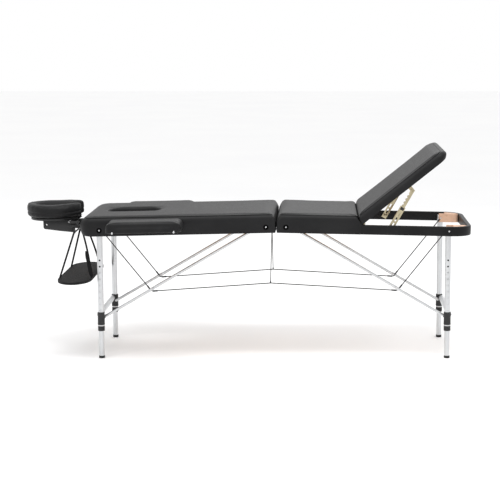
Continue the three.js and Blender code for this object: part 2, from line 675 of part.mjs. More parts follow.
// ---------------------------------------------------------------- assembly
const table = new THREE.Group();
for (const half of HALVES) {
  half.pivot = onFloor(half, half.sign * half.legX, LEG_PIVOT_Z);
  const top = new THREE.Group();
  top.position.z = HINGE_HEIGHT;
  top.rotation.y = half.sign * CREST;
  addFrame(top, half);
  if (half.sign < 0) {
    addHeadTop(top);
    for (const [sideName, side] of SIDES) add(top, `armrest_${sideName}`, armrest(side), VINYL);
    addCradle(top);
  } else {
    addFootTop(top);
    addBackrest(top);
  }
  table.add(top);
  addLegs(table, half);
  addBraces(table, half);
  for (const [sideName, side] of SIDES) {
    add(table, `${half.name}_cable_${sideName}`, sideCable(half, side), CABLE);
  }
}
add(table, "centre_cable", centreCable(), CABLE);

const slingRod = onFloor(HALVES[0], SLING_ROD.x, SLING_ROD.z);
const sling = new THREE.Group();
sling.position.set(slingRod.x, 0, slingRod.z);
add(sling, "arm_sling", armSling(slingRod.z), WEBBING);
table.add(sling);

// The origin lies on the floor under the middle of the whole table's length.
const extent = new THREE.Box3().setFromObject(table, true);
table.position.x = -(extent.min.x + extent.max.x) / 2;

export default table;
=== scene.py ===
import json
import math

import bmesh
import bpy
from mathutils import Matrix, Vector


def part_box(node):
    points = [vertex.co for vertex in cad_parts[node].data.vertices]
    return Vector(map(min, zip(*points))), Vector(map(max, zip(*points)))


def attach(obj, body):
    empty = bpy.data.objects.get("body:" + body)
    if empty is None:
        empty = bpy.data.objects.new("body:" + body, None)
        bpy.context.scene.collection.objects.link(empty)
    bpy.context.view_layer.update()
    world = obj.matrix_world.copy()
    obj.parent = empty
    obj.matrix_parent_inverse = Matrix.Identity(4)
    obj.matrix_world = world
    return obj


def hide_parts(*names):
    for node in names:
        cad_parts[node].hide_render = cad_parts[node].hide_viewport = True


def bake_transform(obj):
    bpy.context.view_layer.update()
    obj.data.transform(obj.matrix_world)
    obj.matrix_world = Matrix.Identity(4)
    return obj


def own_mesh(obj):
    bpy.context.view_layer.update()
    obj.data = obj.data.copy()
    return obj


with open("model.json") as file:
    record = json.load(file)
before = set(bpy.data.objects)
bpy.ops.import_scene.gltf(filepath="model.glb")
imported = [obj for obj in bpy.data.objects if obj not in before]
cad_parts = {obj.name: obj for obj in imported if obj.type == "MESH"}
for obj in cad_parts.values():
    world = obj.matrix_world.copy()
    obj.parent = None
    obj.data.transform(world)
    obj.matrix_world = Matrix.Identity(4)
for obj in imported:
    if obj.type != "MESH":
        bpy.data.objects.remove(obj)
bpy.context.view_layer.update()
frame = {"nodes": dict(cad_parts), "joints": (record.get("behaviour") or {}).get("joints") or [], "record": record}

# ---------------- places from the frame
# Plain numbers of millimetres times MM are metres, the frame's own unit. Profiles, sections,
# outlines for prism() and places for shift() and beside() are given in millimetres.
MM = 0.001
AXIS = 0.1  # where a turned solid's profile starts, so that its ends close
QUARTER = math.pi / 2
WORLD = Matrix.Identity(4)
BLACK = "black_plastic"  # the material of every dark moulding
ACROSS = Vector((0, 1, 0))
JOINTS = {joint["name"]: joint for joint in frame["joints"]}
HINGE = Vector(JOINTS["table_fold"]["pos_m"])
CREST = math.radians(1.2)  # how far each half slopes down from the hinge
SIDES = (("near", -1), ("far", 1))
SIGNS = (-1, 1)  # the same sides where their names aren't needed
HALVES = (("head", -1), ("foot", 1))
HALF_WIDTH = 300 * MM
HALF_LENGTH = 925 * MM
PAD_BOTTOM = 53.6 * MM
PAD_TOP = 94 * MM
ROD_Y, ROD_Z = 100, 30  # the cradle's plug-in rods, in millimetres


def mm(x, y, z):
    """A point or an offset in millimetres."""
    return Vector((x * MM, y * MM, z * MM))


def shift(x, y, z):
    """A move in millimetres."""
    return Matrix.Translation(mm(x, y, z))


def half_frame(sign):
    """A half's own frame: X along the half from the fold axis, Z square to its top."""
    return Matrix.Translation(HINGE) @ Matrix.Rotation(sign * CREST, 4, "Y")


HEAD = half_frame(-1)
FOOT = half_frame(1)
BACK_ANGLE = math.radians(39.7)
BACK_LENGTH = 521 * MM
BACK = FOOT @ Matrix.Translation((0.404, 0, 0.040)) @ Matrix.Rotation(-BACK_ANGLE, 4, "Y")


# ---------------- camera, light and floor
def make_camera():
    camera = bpy.data.cameras.new("camera")
    camera.sensor_width = 36
    camera.lens = 107.4
    camera.shift_x = -0.138
    camera.clip_end = 60
    view = add_object("camera", camera)
    view.location = HINGE + Vector((0.202, -7.246, 0.956))
    view.rotation_euler = (math.radians(90 - 8.478), 0, 0)
    bpy.context.scene.camera = view


def area_light(name, place, target, size, power):
    light = bpy.data.lights.new(name, "AREA")
    light.shape = "RECTANGLE"
    light.size, light.size_y = size
    light.energy = power
    lamp = add_object(name, light)
    lamp.location = place
    lamp.rotation_euler = (Vector(target) - Vector(place)).to_track_quat("-Z", "Y").to_euler()


def make_stage():
    """White studio surroundings, three soft lights and a pale floor."""
    world = bpy.data.worlds.new("studio")
    world.use_nodes = True
    back = world.node_tree.nodes["Background"]
    back.inputs["Color"].default_value = (1, 1, 1, 1)
    back.inputs["Strength"].default_value = 1.0
    bpy.context.scene.world = world
    bpy.context.scene.view_settings.view_transform = "Standard"
    area_light("key", (-2.2, -3.4, 4.2), (0, 0, 0.6), (3.0, 2.0), 26)
    area_light("overhead", (0.1, -1.1, 3.6), (0.1, -0.3, 0.6), (3.8, 1.0), 70)
    area_light("rim", (1.5, 3.6, 3.2), (0, 0, 0.6), (4.0, 1.6), 30)
    mesh = bpy.data.meshes.new("floor")
    reach = 30
    mesh.from_pydata([(x, y, 0) for x, y in oblong(-reach, reach, -reach, reach)], [], [(0, 1, 2, 3)])
    mesh.materials.append(floor_material())
    add_object("floor", mesh)


# ---------------- material helpers
class Nodes:
    """A small builder for one material's node tree."""

    def __init__(self, name, color, roughness, metallic=0.0, specular=0.5):
        self.material = bpy.data.materials.new(name)
        self.material.use_nodes = True
        self.tree = self.material.node_tree
        self.shader = self.tree.nodes["Principled BSDF"]
        self.set("Base Color", (*color, 1))
        self.set("Roughness", roughness)
        self.set("Metallic", metallic)
        self.set("Specular IOR Level", specular)
        self.place = self.new("ShaderNodeTexCoord").outputs["Object"]

    def feed(self, socket, value):
        """Gives a socket a plain value, or links it to another node's output."""
        if isinstance(value, bpy.types.NodeSocket):
            self.tree.links.new(value, socket)
        else:
            socket.default_value = value

    def set(self, socket, value):
        self.feed(self.shader.inputs[socket], value)

    def new(self, kind, inputs=None, **values):
        node = self.tree.nodes.new(kind)
        for key, value in values.items():
            setattr(node, key, value)
        for key, value in (inputs or {}).items():
            self.feed(node.inputs[key], value)
        return node

    def stretch(self, scale):
        return self.new("ShaderNodeMapping", {"Scale": scale, "Vector": self.place}).outputs["Vector"]

    def noise(self, scale, detail=4.0, vector=None, roughness=0.5):
        inputs = {"Scale": scale, "Detail": detail, "Roughness": roughness, "Vector": vector or self.place}
        return self.new("ShaderNodeTexNoise", inputs).outputs["Fac"]

    def cells(self, scale):
        inputs = {"Scale": scale, "Smoothness": 0.4, "Vector": self.place}
        return self.new("ShaderNodeTexVoronoi", inputs, feature="SMOOTH_F1").outputs["Distance"]

    def ramp(self, value, stops):
        node = self.new("ShaderNodeValToRGB", {"Fac": value})
        while len(node.color_ramp.elements) < len(stops):
            node.color_ramp.elements.new(0.5)
        for element, (position, color) in zip(node.color_ramp.elements, stops):
            element.position = position
            element.color = (*color, 1)
        return node.outputs["Color"]

    def span(self, value, low, high):
        inputs = {"Value": value, "To Min": low, "To Max": high}
        return self.new("ShaderNodeMapRange", inputs).outputs["Result"]

    def math(self, operation, a, b):
        return self.new("ShaderNodeMath", {0: a, 1: b}, operation=operation).outputs["Value"]

    def bump(self, height, distance, strength=1.0):
        inputs = {"Distance": distance, "Strength": strength, "Height": height}
        self.set("Normal", self.new("ShaderNodeBump", inputs).outputs["Normal"])


def floor_material():
    n = Nodes("floor", (0.96, 0.96, 0.96), 0.9, specular=0.1)
    n.set("Base Color", n.ramp(n.noise(0.8, 3), [(0.3, (0.95, 0.95, 0.955)), (0.7, (0.97, 0.97, 0.97))]))
    return n.material


def vinyl_material(name, dark, light, grain=900.0):
    """Black upholstery vinyl: fine pebbled grain over a softer, larger unevenness."""
    n = Nodes(name, light, 0.5, specular=0.16)
    cloud = n.noise(9, 5)
    n.set("Base Color", n.ramp(cloud, [(0.3, dark), (0.7, light)]))
    n.set("Roughness", n.span(n.noise(60, 4), 0.40, 0.52))
    pebbles = n.math("MULTIPLY", n.cells(grain), 0.7)
    n.bump(n.math("ADD", pebbles, n.noise(140, 4)), 0.0006, 0.35)
    return n.material


def plywood_material(name, pale, dark, along):
    """Rotary-cut veneer: long soft grain, with darker pores and a rubbed, dry surface."""
    n = Nodes(name, pale, 0.62, specular=0.3)
    vector = n.stretch(along)
    broad = n.noise(3.0, 6, vector, 0.6)
    fine = n.noise(26.0, 6, vector, 0.7)
    mix = n.math("ADD", n.math("MULTIPLY", broad, 0.65), n.math("MULTIPLY", fine, 0.35))
    n.set("Base Color", n.ramp(mix, [(0.35, dark), (0.5, pale), (0.68, tuple(c * 0.86 for c in pale))]))
    n.set("Roughness", n.span(fine, 0.52, 0.72))
    n.bump(fine, 0.0003, 0.4)
    return n.material


def metal_material(name, base, roughness, brush=(1, 1, 40), tint=0.92):
    """Drawn or plated metal: hairline brushing, and slight clouding of its polish."""
    n = Nodes(name, base, roughness, metallic=1.0)
    lines = n.noise(30.0, 3, n.stretch(brush))
    cloud = n.noise(14.0, 4)
    n.set("Base Color", n.ramp(cloud, [(0.35, tuple(c * tint for c in base)), (0.65, base)]))
    mixed = n.math("ADD", n.math("MULTIPLY", lines, 0.5), n.math("MULTIPLY", cloud, 0.5))
    n.set("Roughness", n.span(mixed, roughness * 0.75, roughness * 1.3))
    n.bump(lines, 0.0001, 0.25)
    return n.material


def moulding_material(name, base, roughness, specular=0.45):
    """Spark-eroded moulded plastic or rubber."""
    n = Nodes(name, base, roughness, specular=specular)
    n.set("Base Color", n.ramp(n.noise(22, 4), [(0.3, tuple(c * 0.75 for c in base)), (0.7, base)]))
    n.set("Roughness", n.span(n.noise(400, 2), roughness * 0.85, roughness * 1.12))
    n.bump(n.noise(1500, 3), 0.0003, 0.3)
    return n.material


def webbing_material(name, base, pitch):
    """Woven nylon: crossing ribs, dull between the yarns."""
    n = Nodes(name, base, 0.8, specular=0.12)
    n.set("Sheen Weight", 0.04)
    n.set("Sheen Roughness", 0.5)
    waves = []
    for direction in ("X", "Y"):
        inputs = {"Scale": pitch, "Distortion": 0.6, "Detail": 1.0, "Vector": n.place}
        wave = n.new("ShaderNodeTexWave", inputs, wave_type="BANDS", bands_direction=direction)
        waves.append(wave.outputs["Fac"])
    weave = n.math("MULTIPLY", *waves)
    n.set("Base Color", n.ramp(n.math("ADD", weave, n.math("MULTIPLY", n.noise(30, 4), 0.3)),
                   [(0.1, tuple(c * 0.55 for c in base)), (0.8, base)]))
    n.bump(weave, 0.0005, 0.5)
    return n.material


MATERIALS = {name: maker(name, *values) for name, maker, *values in (
    ("vinyl", vinyl_material, (0.008, 0.008, 0.0085), (0.013, 0.013, 0.0135)),
    ("rail_vinyl", vinyl_material, (0.006, 0.006, 0.0065), (0.011, 0.011, 0.0115), 600.0),
    ("plywood", plywood_material, (0.58, 0.40, 0.27), (0.42, 0.27, 0.17), (1, 12, 12)),
    ("hardwood", plywood_material, (0.70, 0.46, 0.33), (0.52, 0.31, 0.20), (12, 1, 12)),
    ("steel", metal_material, (0.60, 0.60, 0.61), 0.32),
    ("zinc_yellow", metal_material, (0.50, 0.44, 0.30), 0.34, (1, 20, 20), 0.8),
    ("aluminium", metal_material, (0.62, 0.63, 0.64), 0.32, (40, 40, 1)),
    ("black_plastic", moulding_material, (0.012, 0.012, 0.013), 0.46),
    # painted shade: near-black, darker than black_plastic; it stands in for the shade inside the leg tubes and in
    # the cup washers' dishes
    ("bore", moulding_material, (0.003, 0.003, 0.003), 0.9, 0.03),
    ("rubber", moulding_material, (0.010, 0.010, 0.010), 0.72),
    ("cable", moulding_material, (0.016, 0.016, 0.017), 0.5),
    ("sling_fabric", webbing_material, (0.015, 0.015, 0.016), 260.0),
    ("webbing", webbing_material, (0.016, 0.016, 0.017), 300.0),
)}


# ---------------- mesh helpers
def add_object(name, data):
    thing = bpy.data.objects.new(name, data)
    bpy.context.scene.collection.objects.link(thing)
    return thing


def make_piece(name, vertices, faces, where, material, angle=40):
    mesh = bpy.data.meshes.new(name)
    mesh.from_pydata([where @ Vector(v) for v in vertices], [], faces)
    mesh.validate()
    work = bmesh.new()
    work.from_mesh(mesh)
    bmesh.ops.remove_doubles(work, verts=work.verts, dist=1e-6)
    bmesh.ops.recalc_face_normals(work, faces=work.faces)
    work.to_mesh(mesh)
    work.free()
    piece = add_object(name, mesh)
    finish_piece(piece, material, angle)
    return piece


def finish_piece(piece, material, angle=40):
    piece.data.materials.clear()
    piece.data.materials.append(MATERIALS[material])
    piece.data.shade_smooth()
    piece.data.set_sharp_from_angle(angle=math.radians(angle))


def apply_modifiers(piece):
    graph = bpy.context.evaluated_depsgraph_get()
    mesh = bpy.data.meshes.new_from_object(piece.evaluated_get(graph))
    piece.modifiers.clear()
    piece.data = mesh


def merge(name, pieces, material, angle=40):
    """One piece out of several meshes that share a material."""
    work = bmesh.new()
    for piece in pieces:
        work.from_mesh(piece.data)
        bpy.data.objects.remove(piece)
    mesh = bpy.data.meshes.new(name)
    work.to_mesh(mesh)
    work.free()
    whole = add_object(name, mesh)
    finish_piece(whole, material, angle)
    return whole


def modify(piece, kind, **values):
    modifier = piece.modifiers.new(kind.lower(), kind)
    for key, value in values.items():
        setattr(modifier, key, value)


def drill(piece, cutter):
    modify(piece, "BOOLEAN", operation="DIFFERENCE", solver="EXACT", object=cutter)
    apply_modifiers(piece)
    bpy.data.objects.remove(cutter)


def soften(piece, width, material):
    """Rounds a piece's sharp edges by a width in millimetres."""
    modify(piece, "BEVEL", width=width * MM, segments=2, limit_method="ANGLE", angle_limit=math.radians(35))
    apply_modifiers(piece)
    finish_piece(piece, material)
    return piece


def rings_to_faces(count, sides, closed=False):
    """Quads between successive rings of "sides" points, with an n-gon at each end."""
    faces = []
    for ring in range(count if closed else count - 1):
        a, b = ring * sides, ((ring + 1) % count) * sides
        for i in range(sides):
            j = (i + 1) % sides
            faces.append((a + i, a + j, b + j, b + i))
    if not closed:
        faces.append(tuple(reversed(range(sides))))
        faces.append(tuple(range((count - 1) * sides, count * sides)))
    return faces


def lathe(name, profile, where, material, sides=40, angle=40):
    """(radius, height) pairs in millimetres, turned about the local Z axis: a solid when the
    profile starts at AXIS, and a ring when it starts further out."""
    vertices = []
    for radius, height in profile:
        vertices += [(x * MM, y * MM, height * MM) for x, y in circle(radius, sides)]
    faces = rings_to_faces(len(profile), sides, closed=profile[0][0] > AXIS)
    return make_piece(name, vertices, faces, where, material, angle)


def sweep(name, path, section, where, material, closed=False, up=Vector((0, 0, 1)), angle=40):
    """A section of (across, up) points, in millimetres or as a function of the step, on a path."""
    points = [Vector(p) for p in path]
    vertices = []
    count = len(points)
    for i, point in enumerate(points):
        before = points[i - 1] if closed or i else point
        after = points[(i + 1) % count] if closed or i < count - 1 else point
        along = (after - before).normalized()
        across = along.cross(up).normalized()
        over = across.cross(along)
        shape = section(i) if callable(section) else section
        vertices += [point + across * (a * MM) + over * (b * MM) for a, b in shape]
    faces = rings_to_faces(count, len(shape), closed)
    return make_piece(name, vertices, faces, where, material, angle)


def prism(name, outline, low, high, where, material, across="Z", bevel=0.0):
    """An outline in plan (across Z) or in side view (across Y), given thickness; in millimetres."""
    corners = []
    for level in (low, high):
        for a, b in outline:
            point = (a, b, level) if across == "Z" else (a, level, b)
            corners.append([c * MM for c in point])
    piece = make_piece(name, corners, rings_to_faces(2, len(outline)), where, material)
    return soften(piece, bevel, material) if bevel else piece


def circle(radius, sides=12):
    turns = [math.tau * i / sides for i in range(sides)]
    return [(radius * math.cos(turn), radius * math.sin(turn)) for turn in turns]


def arc(cx, cy, radius, start, end, steps):
    turns = [start + (end - start) * i / steps for i in range(steps + 1)]
    return [(cx + radius * math.cos(turn), cy + radius * math.sin(turn)) for turn in turns]


def stadium_points(x, length, width, steps=8):
    """A slot's outline, with its middle at x on the first axis."""
    radius, reach = width / 2, (length - width) / 2
    return (arc(x + reach, 0, radius, -QUARTER, QUARTER, steps)
            + arc(x - reach, 0, radius, QUARTER, 3 * QUARTER, steps))


def oblong(x0, x1, y0, y1):
    return [(x0, y0), (x1, y0), (x1, y1), (x0, y1)]


def box_section(width, height, corner, steps=4):
    section = []
    for sx, sy, turn in ((1, -1, -1), (1, 1, 0), (-1, 1, 1), (-1, -1, 2)):
        centre = sx * (width / 2 - corner), sy * (height / 2 - corner)
        section += arc(*centre, corner, turn * QUARTER, (turn + 1) * QUARTER, steps)
    return section


def bent(points, radius, steps=6):
    """A path through points whose corners are rounded by quadratic curves."""
    points = [Vector(p) for p in points]
    path = [points[0]]
    for before, corner, after in zip(points, points[1:], points[2:]):
        back = min(radius, (corner - before).length * 0.45)
        on = min(radius, (after - corner).length * 0.45)
        start = corner + (before - corner).normalized() * back
        end = corner + (after - corner).normalized() * on
        for i in range(steps + 1):
            t = i / steps
            path.append(start.lerp(corner, t).lerp(corner.lerp(end, t), t))
    return path + [points[-1]]


def smoothstep(value):
    value = min(max(value, 0.0), 1.0)
    return value * value * (3 - 2 * value)


def facing(side):
    """Turns the local Z axis outward, to the near or the far side."""
    return Matrix.Rotation(-side * QUARTER, 4, "X")


def beside(where, x, y, z, side):
    """A place on a side face, in millimetres, with local Z pointing outward."""
    return where @ shift(x, side * y, z) @ facing(side)


def ride(body, *pieces):
    for piece in pieces:
        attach(piece, body)


def rounded(x0, x1, half_width, r0, r1, inset=0.0, steps=12):
    """A rectangle in plan with its own corner radius at each end, moved in by inset."""
    x0, x1, half_width = x0 + inset, x1 - inset, half_width - inset
    r0, r1 = max(r0 - inset, 1e-4), max(r1 - inset, 1e-4)
    return (
        arc(x1 - r1, -half_width + r1, r1, -QUARTER, 0, steps)
        + arc(x1 - r1, half_width - r1, r1, 0, QUARTER, steps)
        + arc(x0 + r0, half_width - r0, r0, QUARTER, 2 * QUARTER, steps)
        + arc(x0 + r0, -half_width + r0, r0, 2 * QUARTER, 3 * QUARTER, steps)
    )


# ---------------- padded pieces
def inflate(name, base, voxel, held, cap=2.6, shrink=1.6, pressure=4.0, frames=14):
    """A cover blown up from a closed mesh: remeshed evenly, then swelled a little as cloth.
    voxel, cap and shrink are in millimetres; held(point) is how far a point may move, 0 to 1."""
    pad = add_object(name, base)
    modify(pad, "WELD", merge_threshold=1e-5)
    modify(pad, "DISPLACE", strength=-shrink * MM, mid_level=0)
    modify(pad, "REMESH", mode="VOXEL", voxel_size=voxel * MM)
    apply_modifiers(pad)
    start = [v.co.copy() for v in pad.data.vertices]
    freedom = [held(p) for p in start]
    moved = cloth_shape(pad, freedom, pressure, frames)
    for vertex, old, new, share in zip(pad.data.vertices, start, moved, freedom):
        move = (new - old) * share
        if move.length > cap * MM:
            move *= cap * MM / move.length
        vertex.co = old + move
    modify(pad, "SMOOTH", factor=0.5, iterations=3)
    modify(pad, "SUBSURF", levels=1)
    apply_modifiers(pad)
    return pad


def cloth_shape(pad, freedom, pressure, frames):
    """Where the cover's points lie after its air pressure has pushed them out."""
    group = pad.vertex_groups.new(name="pin")
    for index, share in enumerate(freedom):
        if share < 1:
            group.add([index], 1 - share, "REPLACE")
    cloth = pad.modifiers.new("cloth", "CLOTH")
    settings = cloth.settings
    settings.use_pressure = True
    settings.uniform_pressure_force = pressure
    settings.effector_weights.gravity = 0
    settings.vertex_group_mass = "pin"
    settings.quality = 4
    cloth.point_cache.frame_end = frames
    scene = bpy.context.scene
    for step in range(1, frames + 1):
        scene.frame_set(step)
    graph = bpy.context.evaluated_depsgraph_get()
    moved = [v.co.copy() for v in pad.evaluated_get(graph).data.vertices]
    pad.modifiers.clear()
    pad.vertex_groups.clear()
    scene.frame_set(1)
    return moved


def cad_base(node, where):
    mesh = frame["nodes"][node].data.copy()
    mesh.transform(where.inverted())
    return mesh


def slab_base(outline, z0, z1, rounding, steps=5):
    """A closed slab: outline(inset) raised from z0 to z1, with its top edge rounded."""
    levels = [(0.0, z0)]
    for i in range(steps + 1):
        turn = QUARTER * i / steps
        levels.append((rounding * (1 - math.cos(turn)), z1 - rounding + rounding * math.sin(turn)))
    rings = [[(x, y, z) for x, y in outline(inset)] for inset, z in levels]
    mesh = bpy.data.meshes.new("slab")
    mesh.from_pydata([p for ring in rings for p in ring], [], rings_to_faces(len(rings), len(rings[0])))
    return mesh


def place_pad(pad, where, material="vinyl", angle=60):
    pad.data.transform(where)
    finish_piece(pad, material, angle)


SEAM = 87.5 * MM  # height in a half of the seam between a cover's top panel and its boxing
# Outward from the frame's face, and height in a half, of the boxing round a cover:
# down its outer face from the seam, and back up inside.
BOXING = [
    (-15.5, 81.5), (-14.2, 84.3), (-12.0, 85.7), (-9.2, 85.6), (-6.3, 84.2), (-3.6, 81.8), (-1.2, 78.4),
    (0.7, 74.2), (2.1, 69.4), (3.0, 64.0), (3.2, 58), (2.7, 50), (1.8, 40), (1.0, 25), (1.0, 10), (0.9, 4),
    (0.6, 2.6), (0.15, 2.2), (0.12, 25), (0.12, 48), (0.1, 56), (-0.6, 64), (-2.4, 71), (-5.4, 77),
    (-9.4, 80.4), (-13, 81),
]
CORNER_CHANGE = 52  # height from which the boxing's corners change radius, over CORNER_SPAN
CORNER_SPAN = 30
HINGE_ROLL = 26 * MM  # radius of the upholstery's top edge beside each fold
ROLL_BASE = 45 * MM  # height below which that edge isn't rolled
FOLD_GAP = 1.5 * MM  # from the fold axis to each pad
BOXING_GAP = 3.8 * MM  # from the fold axis to each boxing's frame
HELD_TOP = 88 * MM  # height up to which the table pads' edges are held in the cloth simulation
FACE_HOLE = -698 * MM  # middle of the face hole, along the head half


def hinge_roll(point, end):
    """Rolls the upholstery's top edge down towards the fold at x = end."""
    away = min(abs(point.x - end), HINGE_ROLL)
    drop = HINGE_ROLL - math.sqrt(HINGE_ROLL ** 2 - (HINGE_ROLL - away) ** 2)
    point.z -= drop * 0.85 * smoothstep((point.z - ROLL_BASE) / (PAD_TOP - ROLL_BASE))


def head_nose(point):
    """Rounds the head end in side view, most at the very end."""
    share = smoothstep(1 - (point.x + HALF_LENGTH) / (120 * MM))
    z = point.z / MM
    low_reach, low_height, high_reach, high_start, high_height = 26, 28, 16, 45, 49
    under = max(low_height - z, 0) / low_height
    low = low_reach * (1 - math.sqrt(max(1 - under ** 2, 0)))
    high = high_reach * max((z - high_start) / high_height, 0) ** 2
    point.x += share * (low + high) * MM


def tuck(pad, x0, x1):
    """Draws a pad's top panel in to its seam, and its sides further in below, clear of the boxing."""
    depth, narrow, band = 7 * MM, 6 * MM, 45 * MM
    middle, reach = (x0 + x1) / 2, (x1 - x0) / 2
    for vertex in pad.data.vertices:
        below = smoothstep((SEAM - vertex.co.z) / (3 * MM)) * depth
        for axis, off, half in ((1, vertex.co.y, HALF_WIDTH), (0, vertex.co.x - middle, reach)):
            near = abs(off) - (half - band)
            if near > 0:
                move = narrow * smoothstep(near / band) + below * smoothstep(near / (band / 2))
                vertex.co[axis] -= math.copysign(move, off)


def boxing(name, x0, x1, r0, r1, lift=0.0, bottom=2.2, open_end=False, steps=14):
    """The side panel of a cover. r0 and r1 are each end's corner radius (below, above)."""
    loops = []
    for out, z in BOXING:
        level = max(z, bottom) * MM + lift
        share = smoothstep((z - CORNER_CHANGE) / CORNER_SPAN)
        radii = [(below + (above - below) * share) * MM for below, above in (r0, r1)]
        ring = rounded(x0, x1, HALF_WIDTH, *radii, -out * MM, steps)
        if open_end:
            keep = steps // 2
            ring = ring[steps + 1 + keep:] + ring[:keep + 1]
        loops.append([(x, y, level) for x, y in fill_straights(ring, open_end)])
    sides, count = len(loops[0]), len(loops)
    faces = rings_to_faces(count, sides, closed=True)
    if open_end:
        faces = [face for index, face in enumerate(faces, 1) if index % sides]
        faces.append(tuple(ring * sides for ring in range(count)))
        faces.append(tuple((ring + 1) * sides - 1 for ring in reversed(range(count))))
    return make_piece(name, [p for ring in loops for p in ring], faces, WORLD, "vinyl", 60)


def fill_straights(ring, is_open, pieces=24):
    """Adds points along an outline's long straight sides, so that they can bend and crease."""
    result = []
    last = len(ring) - 1 if is_open else len(ring)
    for i in range(last):
        a, b = Vector(ring[i]), Vector(ring[(i + 1) % len(ring)])
        count = pieces if (b - a).length > 150 * MM else 1
        result += [tuple(a.lerp(b, k / count)) for k in range(count)]
    return result + [ring[-1]] if is_open else result


def near_edge(p, x0, x1):
    margin = 5 * MM
    return abs(p.y) > HALF_WIDTH - margin or p.x < x0 + margin or p.x > x1 - margin


def warp(pieces, *moves):
    for piece in pieces:
        for vertex in piece.data.vertices:
            for move in moves:
                move(vertex.co)


def make_main_cushion():
    def held(p):
        hole = abs(p.y) < 84 * MM and abs(p.x - FACE_HOLE) < 134 * MM
        edge = near_edge(p, -HALF_LENGTH, -FOLD_GAP) and p.z < HELD_TOP
        return 0.0 if p.z < PAD_BOTTOM + 4 * MM or edge else 0.5 if hole else 1.0

    pad = inflate("main_cover", cad_base("main_cushion", HEAD), 6.5, held)
    tuck(pad, -HALF_LENGTH, -FOLD_GAP)
    panel = boxing("main_boxing", -HALF_LENGTH, -BOXING_GAP, (55, 55), (5, 24))
    warp((pad, panel), head_nose, lambda point: hinge_roll(point, -2 * MM))
    for piece in (pad, panel):
        place_pad(piece, HEAD)
        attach(piece, "head_half")
    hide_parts("main_cushion")
    rim = [(x, y, 52 * MM) for x, y in stadium_points(FACE_HOLE, 260 * MM, 158 * MM, 20)]
    lining = sweep("face_hole_lining", rim, box_section(1.4, 15, 0.6, 2), HEAD, "vinyl", closed=True)
    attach(lining, "head_half")


def make_head_end():
    """The head end's wrapped bow, inside the boxing's rounded nose, with the cradle's rod sockets."""
    side_start, turn, radius, inside = -870 * MM, 245 * MM, 44.5 * MM, 290 * MM
    path = [(side_start, -inside)] + arc(side_start, -turn, radius, 3 * QUARTER, 2 * QUARTER, 14)
    path += arc(side_start, turn, radius, 2 * QUARTER, QUARTER, 14) + [(side_start, inside)]
    bow = sweep("head_end_wrap", [(x, y, 24.5 * MM) for x, y in path], box_section(19, 44, 3), WORLD,
                "rail_vinyl", angle=35)
    warp((bow,), head_nose)
    bow.data.transform(HEAD)
    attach(bow, "head_half")
    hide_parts("head_end_rail")
    profile = [(6.5, -14), (6.5, 0.6), (7.2, 1.4), (10.4, 1.4), (11.2, 0.6), (11.2, -14)]
    for side_name, side in SIDES:
        where = HEAD @ shift(-926, side * ROD_Y, ROD_Z) @ Matrix.Rotation(-QUARTER, 4, "Y")
        ring = lathe(f"rod_socket_{side_name}", profile, where, BLACK)
        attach(ring, "head_half")


def make_mid_cushion():
    def held(p):
        edge = near_edge(p, FOLD_GAP, 401 * MM) and p.z < HELD_TOP
        return 0.0 if p.z < PAD_BOTTOM + 4 * MM or edge else 1.0

    def lean_back(point):
        share = smoothstep((point.x - 340 * MM) / (60 * MM))
        point.x -= share * max(point.z - PAD_BOTTOM, 0) * 0.6

    pad = inflate("mid_cover", cad_base("mid_cushion", FOOT), 6.0, held)
    tuck(pad, FOLD_GAP, 460 * MM)
    panel = boxing("mid_boxing", BOXING_GAP, 399 * MM, (5, 24), (5, 12), open_end=True)
    warp((panel,), lean_back)
    warp((pad, panel), lambda point: hinge_roll(point, 2 * MM))
    profile = [(0.1, -297), (5.5, -297), (7, -295.5), (7, 295.5), (5.5, 297), (0.1, 297)]
    fold = lathe("back_hinge_fold", profile, beside(FOOT, 401.5, 0, 51, 1), "vinyl")
    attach(fold, "foot_half")
    for piece in (pad, panel):
        place_pad(piece, FOOT)
        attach(piece, "foot_half")
    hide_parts("mid_cushion")


SEAM_LEAN = 1 / 42  # the backrest's hinge end leans by this much over the pad's height


def make_back_cushion():
    bottom, middle, top, start = 14.3 * MM, 30 * MM, 54 * MM, 8.7 * MM

    def lean(point):
        point.x += (point.z - bottom) * SEAM_LEAN * smoothstep(1 - point.x / (120 * MM))

    def end_roll(point):
        share = smoothstep(1 - (BACK_LENGTH - point.x) / (90 * MM))
        above = max((point.z - middle) / (24 * MM), 0) ** 2
        below = max((middle - point.z) / (24 * MM), 0) ** 2
        point.x -= share * (10 * above + 17 * below) * MM

    def held(p):
        edge = near_edge(p, start, BACK_LENGTH) and p.z < 48 * MM
        return 0.0 if p.z < bottom + 4 * MM or edge else 1.0

    base = slab_base(lambda inset: rounded(start, BACK_LENGTH, HALF_WIDTH, 14 * MM, 48 * MM, inset),
                     bottom, top, 10 * MM)
    pad = inflate("back_cover", base, 6.0, held)
    panel = boxing("back_boxing", start, BACK_LENGTH, (8, 14), (48, 48), lift=-40 * MM, bottom=46)
    lift = shift(0, 0, 40)
    pad.data.transform(lift)
    tuck(pad, start, BACK_LENGTH)
    pad.data.transform(lift.inverted())
    warp((pad, panel), lean, end_roll)
    for piece in (pad, panel):
        place_pad(piece, BACK)
        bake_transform(piece)
    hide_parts("backrest_cushion")


